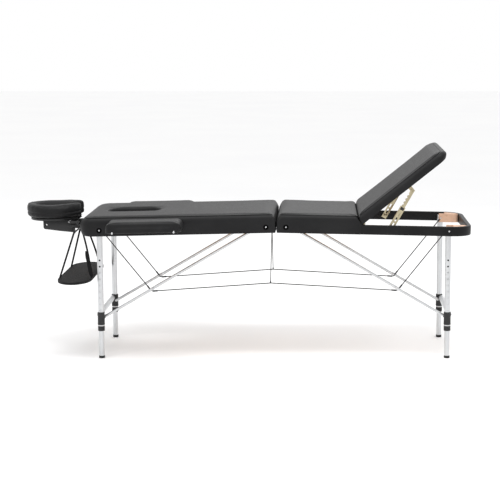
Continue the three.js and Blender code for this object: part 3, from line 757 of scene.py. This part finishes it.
def make_back_board():
    """The backrest's plywood, with the hinge ears and the strut lugs screwed to it."""
    outline = rounded(36, BACK_LENGTH / MM - 21, HALF_WIDTH / MM - 1.5, 4, 46)
    board = prism("backrest_plywood", outline, 8, 13.6, BACK, "plywood", bevel=0.8)
    profile = [(3.2, -4), (6.6, -4), (7, -3.6), (7, 3.6), (6.6, 4), (3.2, 4)]
    plates = ((3, 20, -3, 7.6, 271, 277), (14, 60, 4.6, 7.6, 262, 278.5),
              (280.3, 298.3, -26.4, 7.6, 260, 263.5), (272, 306, 5, 7.6, 240, 263.5))
    ears = []
    for side in SIGNS:
        ears.append(lathe("knuckle", profile, beside(BACK, 0, 274, 0, side), "steel"))
        for x0, x1, z0, z1, y0, y1 in plates:
            plate = oblong(x0, x1, side * y0, side * y1)
            ears.append(prism("ear", plate, z0, z1, BACK, "steel", bevel=0.7))
    ride("backrest", board, merge("backrest_fittings", ears, "zinc_yellow"))
    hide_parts("backrest_board")


def make_cradle_cushion():
    low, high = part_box("cradle_cushion")
    middle, reach = (low.x + high.x) / 2, (high.x - low.x) / 2
    pad = inflate("cradle_cover", cad_base("cradle_cushion", HEAD), 5.0, cap=6.0, shrink=4,
                  held=lambda p: 0.0 if p.z < 74 * MM else 1.0)
    centre = (HEAD.inverted() @ Vector((middle, 0, low.z))).x
    for vertex in pad.data.vertices:
        along = (vertex.co.x - centre) / reach
        height = (vertex.co.z - 70 * MM) / (64 * MM)
        vertex.co.z += max(height, 0) * (14 * along * along - 3) * MM
        piping = 2.2 * MM * math.exp(-((height - 0.40) / 0.05) ** 2)
        crease = piping + 6 * MM * smoothstep((0.18 - height) / 0.2)
        out = Vector((vertex.co.x - centre, vertex.co.y, 0))
        vertex.co -= out.normalized() * crease
        vertex.co.z -= 2.5 * MM * smoothstep((0.5 - height) / 0.5)
    work = bmesh.new()
    work.from_mesh(pad.data)
    rim = [v for v in work.verts if v.co.z < 80 * MM]
    for _ in range(6):
        bmesh.ops.smooth_vert(work, verts=rim, factor=0.5, use_axis_x=True, use_axis_y=True, use_axis_z=True)
    work.to_mesh(pad.data)
    work.free()
    pad.data.transform(shift(8, 0, 0))
    place_pad(pad, HEAD)
    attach(pad, "cradle_head")
    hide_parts("cradle_cushion")


def make_armrest(side_name, side):
    """A padded armrest without the CAD's pegs, with metal pegs and studs of its own."""
    base = cad_base(f"armrest_{side_name}", HEAD)
    pad = inflate(f"armrest_{side_name}_cover", base, 5.0, cap=4.0, shrink=2.0,
                  held=lambda p: 0.0 if p.z < 34 * MM or abs(p.y) < 309 * MM else 1.0)
    work = bmesh.new()
    work.from_mesh(pad.data)
    bmesh.ops.delete(work, geom=[v for v in work.verts if abs(v.co.y) < 303 * MM], context="VERTS")
    bmesh.ops.holes_fill(work, edges=[e for e in work.edges if e.is_boundary], sides=0)
    work.to_mesh(pad.data)
    work.free()
    radius = 30 * MM
    for vertex in pad.data.vertices:
        away = min(vertex.co.x + 792 * MM, -439 * MM - vertex.co.x, radius)
        drop = radius - math.sqrt(radius ** 2 - (radius - max(away, 0)) ** 2)
        vertex.co.z -= drop * 0.6 * smoothstep((vertex.co.z - 40 * MM) / (42 * MM))
    pad.data.transform(shift(6, 0, 0))
    place_pad(pad, HEAD)
    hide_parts(f"armrest_{side_name}")
    peg = [(0.1, -42), (4, -42), (5, -40), (5, 8), (0.1, 8)]
    stud = [(0.1, -3), (4.6, -3), (4.6, 0.6), (3.6, 1.7), (1.5, 2.2), (0.1, 2.3)]
    pegs, studs = [], []
    for x in (-750, -466):
        pegs.append(lathe("peg", peg, beside(HEAD, x, 310, 38, side), "steel"))
        studs.append(lathe("stud", stud, beside(HEAD, x, 452, 35, side), "steel", sides=24))
    ride(f"armrest_{side_name}", pad, merge(f"armrest_{side_name}_pegs", pegs, "steel"),
         merge(f"armrest_{side_name}_studs", studs, "steel"))


# ---------------- frame wrap and bolts
def make_foot_frame():
    """The vinyl-wrapped side rails and end bow of the foot half, as one bent wrap."""
    centre, turn, bend, inside = 825 * MM, 200 * MM, 90 * MM, 290 * MM
    straight = [4 * MM, 200 * MM, 402 * MM, 600 * MM, 760 * MM]
    path = [(x, -inside) for x in straight]
    path += arc(centre, -turn, bend, -QUARTER, 0, 20) + arc(centre, turn, bend, 0, QUARTER, 20)
    path += [(x, inside) for x in reversed(straight)]
    wrap = sweep("foot_frame_wrap", [(x, y, 24.5 * MM) for x, y in path], box_section(20, 45, 4), FOOT,
                 "rail_vinyl", angle=35)
    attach(wrap, "foot_half")
    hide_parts("foot_rail_near", "foot_rail_far", "foot_end_bow")
    bolts = []
    places = ((814, 25, 202, 4), (40, 36, 197.5, 4), (404, 40, 268, 3), (535.6, 24, 262, 3))
    for side in SIGNS:
        for x, z, end, radius in places:
            reach = 281 - end
            profile = [(0.1, -reach), (radius - 0.6, -reach), (radius, -reach + 0.8), (radius, 0), (0.1, 0)]
            bolts.append(lathe("bolt", profile, beside(FOOT, x, 281, z, side), "steel", sides=20))
    for side in SIGNS:
        y = side * 150
        plate = [(924, y - 8), (930, y - 6), (930, y + 6), (924, y + 8)]
        bolts.append(prism("catch", plate, 14, 34, FOOT, "steel", bevel=1.2))
    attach(merge("foot_frame_bolts", bolts, "steel"), "foot_half")


def make_corner_blocks():
    """Hardwood in each foot corner, with a cheek inside the leg's top."""
    bend = arc(825, 200, 79.5, QUARTER * 0.92, QUARTER * 0.17, 10)
    outline = [(806, 213), (806, 229), (836, 229), (836, 279)] + bend + [(892, 213)]
    for side_name, side in SIDES:
        block = prism(f"corner_block_{side_name}_wood", [(x, side * y) for x, y in outline], 3.5, 46, FOOT,
                      "hardwood", bevel=1.2)
        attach(block, "foot_half")
        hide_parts(f"corner_block_{side_name}")


def make_cup_bolts():
    """Bolt heads in black cup washers, along both sides of the table; the washers get a near-black darker than
    their plastic, painted shade in their dishes.
    """
    cup = [(3, 0.5), (6.5, 0.5), (8.5, 0.9), (10.5, 1.9), (11.8, 1.8), (12.6, 1.0), (12.8, 0.1), (12.8, -0.8),
           (3, -0.8)]
    head = [(0.1, -0.5), (3.8, -0.5), (3.8, 1.2), (3.2, 2.1), (1.8, 2.6), (0.1, 2.8)]
    leg_bolt = [(0.1, -0.9), (4.6, -0.9), (4.6, 0.8), (3.6, 2.0), (0.1, 2.6)]
    for half, where, stations in (("head", HEAD, (-831, -47)), ("foot", FOOT, (46,))):
        cups, heads = [], []
        for side in SIGNS:
            for x in stations:
                place = beside(where, x, 301, 30, side)
                # painted shade: the cup washers are darker than their own black plastic
                cups.append(lathe("cup", cup, place, "bore"))
                heads.append(lathe("head", head, place, "steel", sides=24))
            if half == "foot":
                heads.append(lathe("head", leg_bolt, beside(where, 814, 300.5, 26, side), "steel", sides=24))
        ride(f"{half}_half", merge(f"{half}_cup_washers", cups, "bore"),
             merge(f"{half}_bolt_heads", heads, "steel"))


# ---------------- legs and braces
LEG_Y = 245 * MM
HOLES = [-143 - 30 * i for i in range(9)]  # millimetres from the leg's pivot


def hole_cutter(place, z, radius, side):
    profile = [(0.1, 4), (radius, 4), (radius, 20), (0.1, 20)]
    return lathe("cutter", profile, beside(place, 0, 0, z, side), "steel", sides=20)


def make_leg(half, side_name, side):
    pivot = Vector(JOINTS[f"{half}_leg_fold"]["pos_m"])
    place = Matrix.Translation((pivot.x, side * LEG_Y, pivot.z))
    floor = -pivot.z / MM
    tube = [(12.8, 13.6), (13.2, 14), (13.6, 14), (14, 13.6), (14, -456), (12.8, -456)]
    outer = lathe(f"{half}_leg_{side_name}_tube", tube, place, "aluminium")
    drill(outer, merge("cutter", [hole_cutter(place, z, 4.3, side) for z in HOLES], "steel"))
    finish_piece(outer, "aluminium")
    # painted shade on the tube's inner faces, seen through its holes
    paint_bore_shade(outer, place, 13.4 * MM)
    tube = [(10.9, -200.6), (11.3, -200), (12, -200), (12.4, -200.5), (12.4, floor + 8), (10.9, floor + 8)]
    inner = lathe(f"{half}_inner_leg_{side_name}_tube", tube, place, "aluminium")
    drill(inner, hole_cutter(place, HOLES[3], 3.3, side))
    finish_piece(inner, "aluminium")
    shoe = [(0.1, 0), (11.6, 0), (13.2, 0.8), (13.9, 2.4), (13.9, 10.4), (13.2, 12), (12.42, 12.2),
            (12.42, 7.8), (0.1, 7.8)]
    foot = lathe(f"{half}_foot_{side_name}", [(radius, floor + z) for radius, z in shoe], place, "rubber")
    ride(f"{half}_legs", outer)
    ride(f"{half}_inner_leg_{side_name}", inner, foot)
    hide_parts(f"{half}_leg_{side_name}")
    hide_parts(f"{half}_inner_leg_{side_name}")
    make_bracket(half, side_name, side, place)


def paint_bore_shade(tube, place, radius):
    """Paints shade on the inside of a drawn tube: its inner faces get a near-black painted-shade material instead
    of aluminium.
    """
    tube.data.materials.append(MATERIALS["bore"])
    for face in tube.data.polygons:
        centre = face.center - place.translation
        if math.hypot(centre.x, centre.y) < radius:
            face.material_index = 1


def make_bracket(half, side_name, side, place):
    """A moulded sleeve with its boss and pin, a bright ring, and a ribbed collar below."""
    profile = [(14.05, -394), (16.4, -394), (17.3, -395), (17.3, -399), (16.9, -400), (16.9, -447),
               (17.3, -448), (17.3, -454), (16.7, -455), (14.05, -455)]
    sleeve = lathe("sleeve", profile, place, BLACK)
    ribs = [(14.05, -461), (16.0, -461), (16.4, -461.6)]
    for step in range(5):
        top = -464 - 3.6 * step
        ribs += [(16.4, top), (15.8, top - 0.7), (15.8, top - 1.5), (16.4, top - 2.2)]
    ribs += [(16.4, -483), (15.6, -484.6), (12.8, -485), (12.8, -457), (14.05, -457)]
    collar = lathe("collar", ribs, place, BLACK)
    foot = Vector(JOINTS[f"{half}_lower_brace_fold"]["pos_m"])
    where = Matrix.Translation((foot.x, side * LEG_Y, foot.z)) @ facing(-side)
    boss = lathe("boss", [(0.1, 8), (7.5, 8), (7.5, 14.5), (6.4, 16.8), (0.1, 16.8)], where, BLACK)
    profile = [(14.05, -455.2), (15.4, -455.2), (15.9, -456), (15.9, -460), (15.4, -460.8), (14.05, -460.8)]
    ring = lathe("ring", profile, place, "steel")
    profile = [(0.1, 16), (3, 16), (3, 27.4), (5.4, 27.4), (5.4, 28.6), (4, 30.4), (0.1, 31)]
    pin = lathe("pin", profile, where, "steel", sides=24)
    moulding = merge(f"{half}_bracket_{side_name}_moulding", [sleeve, collar, boss], BLACK, 35)
    metal = merge(f"{half}_bracket_{side_name}_metal", [ring, pin], "steel")
    ride(f"{half}_legs", moulding, metal)
    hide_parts(f"{half}_bracket_{side_name}")


def make_crossbar(half):
    low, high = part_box(f"{half}_crossbar")
    where = Matrix.Translation(((low.x + high.x) / 2, 0, (low.z + high.z) / 2)) @ facing(1)
    reach = (high.y - low.y) / 2 / MM
    profile = [(11.6, -reach), (13, -reach), (13, reach), (11.6, reach)]
    bar = lathe(f"{half}_crossbar_tube", profile, where, "aluminium")
    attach(bar, f"{half}_legs")
    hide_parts(f"{half}_crossbar")


def elbow_of(half, sign):
    """Where the two braces of a half meet; each brace ends in an eye of 8 mm radius."""
    low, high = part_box(f"{half}_upper_brace_near")
    return Vector((low.x + 8 * MM if sign < 0 else high.x - 8 * MM, 0, low.z + 8 * MM))


BRACE_END = (  # from the rivet along the bar, then half the width and half the thickness
    (-8, 2.5, 2.6), (-6.4, 5.4, 3.0), (-3, 6.9, 3.0), (2, 7.1, 3.0), (12, 7.0, 3.0), (20, 6.8, 3.8),
    (28, 6.7, 5.6), (34, 6.7, 6.7),
)


def brace_bar(name, start, end):
    """A round tube pressed flat round the rivet at each end."""
    along = (end - start).normalized()
    length = (end - start).length / MM
    stations = list(BRACE_END) + [(length - t, wide, thick) for t, wide, thick in reversed(BRACE_END)]

    def section(step):
        _, wide, thick = stations[step]
        return [(a * thick, b * wide) for a, b in circle(1, 24)]

    path = [start + along * (t * MM) for t, _, _ in stations]
    return sweep(name, path, section, WORLD, "aluminium", up=Vector((-along.z, 0, along.x)))


def make_braces(half, sign):
    elbow = elbow_of(half, sign)
    for kind, y in (("upper", 205.5), ("lower", 221)):
        start = Vector(JOINTS[f"{half}_{kind}_brace_fold"]["pos_m"])
        start.y = 0
        for side_name, side in SIDES:
            aside = Vector((0, side * y * MM, 0))
            bar = brace_bar(f"{half}_{kind}_brace_{side_name}_bar", start + aside, elbow + aside)
            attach(bar, f"{half}_{kind}_braces")
            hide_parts(f"{half}_{kind}_brace_{side_name}")
    profile = [(0.1, -1), (3.6, -0.4), (5.4, 0.8), (5.4, 2), (3, 2), (3, 27.5), (5.4, 27.5), (5.4, 28.6),
               (3.6, 29.8), (0.1, 30.4)]
    rivets = [lathe("rivet", profile, beside(Matrix.Translation(elbow), 0, 198, 0, side), "steel", sides=24)
              for side in SIGNS]
    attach(merge(f"{half}_elbow_rivets", rivets, "steel"), f"{half}_upper_braces")


# ---------------- cables
CABLE_Y = 206 * MM
CABLE_MEET = HINGE + mm(-30, 0, -253)


def fold_cable(cable):
    """Gives a cable its own copy of its mesh."""
    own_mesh(cable)


def cable_joint():
    """Where the two halves' cables meet end to end, under the table's hinge."""
    elbow = elbow_of("foot", 1)
    far = Vector((elbow.x - 3 * MM, 0, elbow.z - 11.5 * MM))
    share = (HINGE.x - 2 * MM - CABLE_MEET.x) / (far.x - CABLE_MEET.x)
    return CABLE_MEET.lerp(far, share)


def make_side_cable(half, sign, side_name, side):
    """A taut cable from the leg's top, round the elbow and in under the table's hinge."""
    pivot = Vector(JOINTS[f"{half}_leg_fold"]["pos_m"])
    elbow = elbow_of(half, sign)
    joint = cable_joint()
    route = [
        (pivot.x - sign * 5 * MM, pivot.z - 6 * MM),
        (elbow.x + sign * 10.5 * MM, elbow.z - 1 * MM),
        (elbow.x + sign * 6 * MM, elbow.z - 9.5 * MM),
        (elbow.x - sign * 3 * MM, elbow.z - 11.5 * MM),
    ]
    if sign < 0:
        route.append((CABLE_MEET.x, CABLE_MEET.z))
    route.append((joint.x + sign * 0.2 * MM, joint.z))
    points = [Vector((x, side * CABLE_Y, z)) for x, z in route]
    parts = [sweep("wire", bent(points, 5 * MM), circle(2.5), WORLD, "cable", up=ACROSS)]
    for start, end, reach in ((0, 1, 16), (1, 0, 22), (3, 4, 24)):
        parts.append(crimp(points[start], points[end], (0, 1, reach - 1, reach), (3, 4, 4, 3), ACROSS))
    cable = merge(f"{half}_cable_{side_name}_wire", parts, "cable")
    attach(cable, f"{half}_half")
    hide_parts(f"{half}_cable_{side_name}")
    fold_cable(cable)


def crimp(start, end, stations, radii, up):
    """A ferrule pressed on a cable, from start towards end; stations and radii in millimetres."""
    along = (end - start).normalized()
    path = [start + along * (t * MM) for t in stations]
    return sweep("crimp", path, lambda i: circle(radii[i]), WORLD, "cable", up=up)


def make_centre_cable():
    """The two strands from the hinge down to where the side cables meet."""
    top = HINGE + mm(-28, 0, -5)
    up = Vector((1, 0, 0))
    strands = []
    for side in SIGNS:
        low = Vector((CABLE_MEET.x, side * (CABLE_Y - 1 * MM), CABLE_MEET.z + 1 * MM))
        path = [top.lerp(low, i / 12) for i in range(13)]
        strands.append(sweep("strand", path, circle(1.9), WORLD, "cable", up=up))
        strands.append(crimp(low, top, (-3, -2, 9, 10), (2, 3.2, 3.2, 2), up))
    cable = merge("centre_cable_wire", strands, "cable")
    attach(cable, "head_half")
    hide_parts("centre_cable")
    fold_cable(cable)


# ---------------- backrest struts
STRUT_HEAD = BACK @ mm(289.3, 0, -17.4)
STRUT_PIN = FOOT @ mm(535.6, 0, 24)


def make_strut(side_name, side):
    """A slotted channel, the notched bar that slides in it, and the catch on its mouth."""
    rise = STRUT_HEAD - STRUT_PIN
    length = rise.length / MM
    where = Matrix.Translation(STRUT_PIN) @ Matrix.Rotation(-math.atan2(rise.z, rise.x), 4, "Y")

    def plate(name, outline, y0, y1, material="steel", bevel=0.0):
        return prism(name, outline, side * y0, side * y1, WORLD, material, across="Y", bevel=bevel)

    channel = add_object(f"strut_channel_{side_name}_slotted", cad_base(f"strut_channel_{side_name}", where))
    slots = [plate("slot", stadium_points(middle, reach, 7), 272, 280)
             for middle, reach in ((26, 26), (58, 22), (86, 18))]
    drill(channel, merge("cutter", slots, "steel"))
    bar = add_object(f"strut_bar_{side_name}_notched", cad_base(f"strut_bar_{side_name}", where))
    cutters = [plate("notch", [(x, 10), (x, 4.5), (x + 7, 4.5), (x + 9, 10)], 262, 276)
               for x in range(134, int(length) - 24, 17)]
    cutters.append(plate("groove", stadium_points((130 + length) / 2, length - 160, 5), 264, 267))
    drill(bar, merge("cutter", cutters, "steel"))
    face = max(abs(v.co.y) for v in channel.data.vertices) / MM
    outline = [(104, -6), (104, 9), (112, 11), (124, 9), (124, -6)]
    tongue = plate("catch", outline, 259, 264.5, BLACK, 0.8)
    outline = [(108, -9), (108, 9), (122, 9), (122, -9)]
    band = plate("catch", outline, face + 0.02, face + 0.5, BLACK, 0.1)
    catch = merge(f"strut_catch_{side_name}", [tongue, band], BLACK)
    profile = [(0.1, -2), (5.6, -2), (5.6, 0.4), (4, 1.6), (0.1, 2)]
    foot_rivet, head_rivet = [
        lathe(f"strut_{end}_rivet_{side_name}", profile, shift(x, side * y, 0) @ facing(-side), "zinc_yellow",
              sides=24)
        for end, x, y in (("foot", 0, 261.5), ("head", length, 262.5))]
    soften(channel, 0.6, "zinc_yellow")
    soften(bar, 0.5, "zinc_yellow")
    for piece in (channel, bar, catch, foot_rivet, head_rivet):
        piece.data.transform(where)
    ride("strut_channels", channel, catch, foot_rivet)
    ride("strut_bars", bar, head_rivet)
    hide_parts(f"strut_channel_{side_name}")
    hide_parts(f"strut_bar_{side_name}")


# ---------------- face cradle and sling
# Places in the head half, in millimetres.
TILT_X, TILT_Z = -1003, 50
def horseshoe(inset, steps=40):
    """The cradle's plan in millimetres, open towards the table: the cushion's own sizes, moved in."""
    middle, start = -1083, 0.42
    long_side, short_side = 142 - inset, 150 - inset
    hole_long, hole_short, mouth = 92 + inset, 56 + inset, 34 + inset
    open_end, lip = middle + long_side * 0.96, math.asin(mouth / hole_short)
    points = []
    for i in range(steps + 1):
        turn = start + (math.tau - 2 * start) * i / steps
        points.append((middle + long_side * math.cos(turn), short_side * math.sin(turn)))
    points.append((open_end, -mouth))
    for i in range(steps + 1):
        turn = math.tau - lip - (math.tau - 2 * lip) * i / steps
        points.append((middle + hole_long * math.cos(turn), hole_short * math.sin(turn)))
    return points + [(open_end, mouth)]


def make_cradle_platform():
    """The moulded plate under the cushion, with a lug at each side for the tilt pins."""
    parts = [prism("plate", horseshoe(22), 58, 68, HEAD, BLACK, bevel=2)]
    lug = [(4.3, 83), (7.4, 83), (8, 83.6), (8, 89.4), (7.4, 90), (4.3, 90)]
    for side in SIGNS:
        parts.append(lathe("lug", lug, beside(HEAD, TILT_X, 0, TILT_Z, side), BLACK))
        web = oblong(TILT_X - 8, TILT_X + 8, side * 83, side * 90)
        parts.append(prism("web", web, 56, 62, HEAD, BLACK))
    platform = merge("cradle_platform_moulding", parts, BLACK, 35)
    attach(platform, "cradle_head")
    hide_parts("cradle_platform")


SLING_ROD = HEAD @ mm(-983, 0, -4)
BOARD_TOP = 377 * MM
# Each strap's name, sag and side; its foot from the board's middle (x, y); its top from the rod (x, z).
STRAPS = (
    ("left_near", 0, -1, -74, 186, 0, 0), ("left_far", 0, 1, -74, 152, 0, 0),
    ("right_near", 6, -1, 78, 176, 35, 30), ("right_far", 6, 1, 65.7, 186, 18, 30),
)


def make_cradle_base():
    """Two cheeks on a crossbeam, plug-in rods, the tilt pins, and the rod that holds the sling."""
    moulded, metal = [], []
    outline = [(-985, -5), (-985, 46), (-1015, 57), (-1130, 57), (-1133, 54), (-1133, 20), (-1128, 14),
               (-1060, 4)]
    cutter = [(0.1, -30), (4.5, -30), (4.5, 30), (0.1, 30)]
    rod = [(0.1, 0), (5.2, 0), (6, 0.9), (6, 127), (5.2, 128), (0.1, 128)]
    boss = [(6, -2), (10, -2), (11, -1), (11, 20), (10, 22), (6, 22)]
    pin = [(0.1, -2), (4, -2), (4, 10), (6.5, 10), (6.5, 12.4), (5, 14), (0.1, 14.4)]
    for side in SIGNS:
        cheek = prism("cheek", outline, side * 62, side * 82, HEAD, BLACK, across="Y", bevel=2.5)
        drill(cheek, lathe("cutter", cutter, beside(HEAD, -1118, 72, 34, side), "steel", sides=24))
        finish_piece(cheek, BLACK)
        inward = HEAD @ shift(-988, side * ROD_Y, ROD_Z) @ Matrix.Rotation(QUARTER, 4, "Y")
        moulded += [cheek, lathe("rod", rod, inward, BLACK),
                    lathe("rod_boss", boss, inward, BLACK)]
        metal.append(lathe("tilt_pin", pin, beside(HEAD, TILT_X, 82, TILT_Z, side), "steel", sides=28))
        moulded.append(prism("hanger", oblong(-5, 5, -9, 22), -2.5, 2.5, HEAD @ shift(-983, side * 88, 0),
                             BLACK, across="Y", bevel=1))
    for outline, low, high, bevel in ((oblong(-1000, -985, -108, 108), 20, 38, 2),
                                      (oblong(-1116, -1090, -64, 64), 20, 30, 1.5)):
        moulded.append(prism("beam", outline, low, high, HEAD, BLACK, bevel=bevel))
    profile = [(0.1, -106), (3.2, -106), (4, -105), (4, 105), (3.2, 106), (0.1, 106)]
    where = Matrix.Translation(SLING_ROD) @ facing(1)
    moulded.append(lathe("sling_rod", profile, where, BLACK, sides=24))
    base = merge("cradle_base_moulding", moulded, BLACK)
    ride("cradle", base, merge("cradle_tilt_pins", metal, "steel"))
    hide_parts("cradle_base")


def sling_outline(inset=0.0, steps=16):
    """The board in plan: straight sides, and half ellipses at its ends."""
    wide, straight, reach = 80 * MM - inset, 190 * MM, 130 * MM - inset
    ends = []
    for side, start in ((1, 0.0), (-1, math.pi)):
        for i in range(steps + 1):
            turn = start + math.pi * i / steps
            ends.append((wide * math.cos(turn), side * straight + reach * math.sin(turn)))
    return ends


def make_sling():
    """The bound board, four straps down to it, and the adjuster on the near right strap."""
    middle = SLING_ROD.x + 15 * MM
    place = Matrix.Translation((middle, 0, BOARD_TOP - 5 * MM))
    levels = [(9, -5.0), (3, -4.6), (1.5, -3.6), (1.2, 0), (1.5, 3.2), (3, 4.2), (9, 4.6), (24, 5.2),
              (50, 5.4)]
    rings = [[(x, y, z * MM) for x, y in sling_outline(inset * MM)] for inset, z in levels]
    board = make_piece("sling_board", [p for ring in rings for p in ring],
                       rings_to_faces(len(rings), len(rings[0])), place, "sling_fabric", 50)
    rim = [(x, y, 0) for x, y in sling_outline(1.2 * MM)]
    binding = sweep("sling_binding", rim, box_section(3.4, 12, 1.4, 3), place, "webbing", closed=True)
    for name, sag, side, x, y, top_x, top_z in STRAPS:
        low = Vector((middle + x * MM, side * y * MM, BOARD_TOP + 1 * MM))
        top = SLING_ROD + mm(top_x, side * 100, top_z)
        make_strap(f"sling_strap_{name}", top, low, mm(sag, 0, 0))
        if name == "right_near":
            start, stop = top.lerp(low, 0.48), top.lerp(low, 0.97)
    path = [start.lerp(stop, i / 10) for i in range(11)]
    widths = (5, 8, 9.5, 10, 9, 8.5, 9.5, 10, 10, 9, 6)
    adjuster = sweep("sling_adjuster", path, lambda i: box_section(2 * widths[i], 5, 1.6, 2), WORLD,
                     "webbing", up=ACROSS)
    for piece in (board, binding, adjuster):
        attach(piece, "arm_sling")
    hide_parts("arm_sling")


def make_strap(name, top, low, sag):
    """Flat webbing from the cradle down to the board."""
    path = [top.lerp(low, i / 16) + sag * math.sin(math.pi * i / 16) for i in range(17)]
    strap = sweep(name, path, box_section(9, 2.2, 0.7, 2), WORLD, "webbing", up=ACROSS)
    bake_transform(strap)


# ---------------- assembly
make_camera()
make_stage()
for sub in frame["record"]["subparts"]:
    node = frame["nodes"][sub["node"]]
    node.data.materials.clear()
    node.data.materials.append(MATERIALS[sub["material_slot"]])
make_main_cushion()
make_head_end()
make_mid_cushion()
make_back_cushion()
make_back_board()
make_cradle_cushion()
make_cradle_platform()
make_foot_frame()
make_corner_blocks()
make_cup_bolts()
make_centre_cable()
make_cradle_base()
make_sling()
for side_name, side in SIDES:
    make_armrest(side_name, side)
    make_strut(side_name, side)
for half, sign in HALVES:
    make_crossbar(half)
    make_braces(half, sign)
    for side_name, side in SIDES:
        make_leg(half, side_name, side)
        make_side_cable(half, sign, side_name, side)
